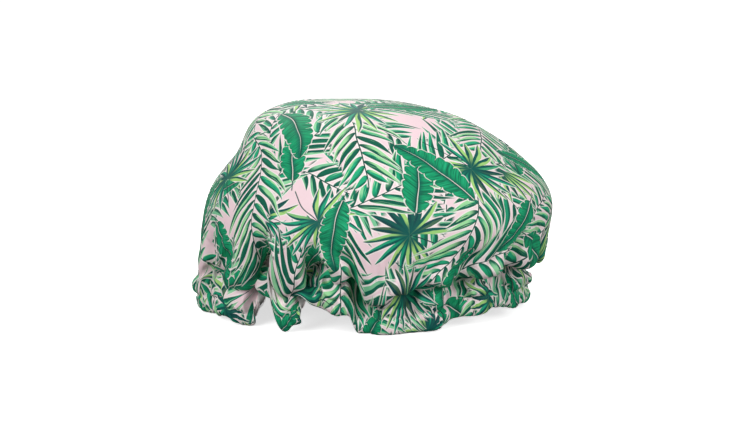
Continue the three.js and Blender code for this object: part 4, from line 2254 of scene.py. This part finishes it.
@dataclass(frozen=True)
class SpunThread:
    """Spun polyester sewing thread: a dull soft fibre with faint slanting twists."""

    name: str
    colour: str
    roughness: float = 0.72
    sheen: float = 0.1
    bump: float = 0.7
    twist_pitch: float = 0.45
    twist_depth: float = 0.05
    twist_slant: float = 1.6

    def material(self) -> Material:
        """Makes the material.

        Returns:
            The material.
        """
        shader = Shader(self.name)
        place = shader.add("TexCoord", output="Object")
        x, y, z = shader.add("SeparateXYZ", place).outputs()
        slant = (x + y + z * self.twist_slant) * (FULL_TURN / (self.twist_pitch * METRES))
        height = slant.math("SINE") * self.twist_depth
        shader.surface(self.colour, self.roughness, height, self.bump, Sheen_Weight=self.sheen)
        return shader.material


@dataclass(frozen=True)
class Lamp:
    """A square soft lamp: its place and side in millimetres, and its power in watts."""

    name: str
    place: tuple[float, float, float]
    side: float
    power: float

    def build(self, aim: Vector) -> Object:
        """Makes the lamp.

        Args:
            aim: The point that it is aimed at, in metres.

        Returns:
            The lamp.
        """
        data = bpy.data.lights.new(self.name, "AREA")
        data.size = self.side * METRES
        data.energy = self.power
        lamp = add_object(self.name, data)
        lamp.location = Vector(self.place) * METRES
        lamp.rotation_euler = (aim - lamp.location).to_track_quat("-Z", "Y").to_euler()
        return lamp


@dataclass(frozen=True)
class Stage:
    """The white floor, the soft lamps, the white surround and the camera.

    The frame's width is what the camera sees of the plane through the cap's middle.
    """

    aim_height: float = 70.6
    floor_half: float = 6000.0
    floor_colour: str = "#fbfbfb"
    floor_glow: float = 0.68
    floor_unseen: str = "#6f6f6f"
    surround: float = 0.4
    frame_width: float = 616.0
    lens: float = 85.0
    sensor: float = 36.0
    elevation: float = 10.0
    lamps: tuple[Lamp, ...] = (
        Lamp("key", (-760, -1050, 680), 700, 10.0),
        Lamp("fill", (980, -900, 560), 700, 8.5),
        Lamp("top", (60, 160, 1200), 600, 1.2),
        Lamp("back", (-250, 1050, 980), 800, 9.0),
    )

    def build(self) -> None:
        aim = Vector((0, 0, self.aim_height)) * METRES
        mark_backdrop(self._floor(), *[lamp.build(aim) for lamp in self.lamps])
        self._world()
        self._camera()

    def _floor(self) -> Object:
        """Makes a broad white floor that keeps the cap's shadow.

        It glows for the camera and is grey to other rays, so as not to light the cap from below.

        Returns:
            The floor.
        """
        corners = np.array([(-1, -1, 0), (1, -1, 0), (1, 1, 0), (-1, 1, 0)]) * self.floor_half
        floor = mesh_object("floor", corners, [(0, 1, 2, 3)])
        sheet = Shader("floor_paper")
        seen = sheet.add("LightPath", output="Is Camera Ray")
        shown = sheet.add("BsdfDiffuse", self.floor_colour)
        glow = sheet.add("Emission", "#ffffff", self.floor_glow)
        shown = sheet.add("AddShader", shown, glow)
        unseen = sheet.add("BsdfDiffuse", self.floor_unseen)
        sheet.finish(sheet.add("MixShader", seen, unseen, shown))
        floor.data.materials.append(sheet.material)
        return floor

    def _world(self) -> None:
        """Lights the cap evenly from all round. The camera sees white, also through clear film."""
        world = bpy.data.worlds.new("surround")
        bpy.context.scene.world = world
        nodes = Nodes(world)
        camera = nodes.add("LightPath", output="Is Camera Ray")
        seen = camera.math("MAXIMUM", camera.output("Is Transmission Ray"))
        even = nodes.add("Background", "#ffffff", self.surround)
        white = nodes.add("Background", "#ffffff", 1.0)
        mixed = nodes.add("MixShader", seen, even, white)
        nodes.add("OutputWorld", mixed)

    def _camera(self) -> None:
        """Sets up a long lens, aimed at the cap's middle from a little above it."""
        data = bpy.data.cameras.new("camera")
        data.lens = self.lens
        data.sensor_width = self.sensor
        camera = add_object("camera", data)
        distance = self.frame_width * self.lens / self.sensor
        tilt = math.radians(self.elevation)
        back = Vector((0, -math.cos(tilt), math.sin(tilt)))
        camera.location = (Vector((0, 0, self.aim_height)) + back * distance) * METRES
        camera.rotation_euler = (-back).to_track_quat("-Z", "Y").to_euler()
        bpy.context.scene.camera = camera


def main() -> None:
    """Builds the cap on the frame and dresses the stage."""
    logging.basicConfig(level=logging.INFO, format="%(message)s")
    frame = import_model()
    low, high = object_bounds()
    LOG.info("frame: %s", sorted(frame["nodes"]))
    cloth = Cloth(CapForm.inside(high), Gathers(), Channel())
    LOG.info("cloth: %d points, radius %.1f mm", len(cloth.points), cloth.grid.radius)
    lining, elastic = Lining(cloth), ElasticBand(cloth)
    white = SpunThread("white_polyester_thread", "#f4f2ee").material()
    pink = SpunThread("pink_polyester_thread", "#e8c3cb").material()
    outer = OuterShell(cloth).build(PrintedSatin().material())
    film = lining.build(MilkyFilm().material())
    pieces = [outer, film, elastic.build(WovenElastic().material())]
    pieces.append(JoinStitches(elastic).build(white))
    inner = lining.points()
    row_up = cloth.channel.height
    needle = StitchRow("needle_thread", "channel_needle_thread", "pink_thread", row_up, 460, False)
    bobbin = StitchRow("bobbin_thread", "channel_bobbin_thread", "white_thread", row_up, 460, True)
    edge = StitchRow("edge_thread", "edge_seam_thread", "white_thread", 2.0, 300, True)
    for row, thread in ((needle, pink), (bobbin, white), (edge, white)):
        pieces.append(row.build(cloth, inner, thread))
    for piece in pieces:
        size = [round(side, 4) for side in piece.dimensions]
        LOG.info("%s: %d faces, %s", piece.name, len(piece.data.polygons), size)
    fabric_cut = 2 * (cloth.grid.radius + cloth.channel.edge_allowance()) * METRES
    film_cut = 2 * cloth.grid.ring_radii[-2] * METRES
    fabric_area, film_area = math.pi * fabric_cut**2 / 4, math.pi * film_cut**2 / 4
    LOG.info("cuts: fabric %.3f m, film %.3f m across", fabric_cut, film_cut)
    Stage().build()
    bpy.context.scene.view_settings.view_transform = "Standard"
    low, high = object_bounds()


if __name__ == "__main__":
    main()
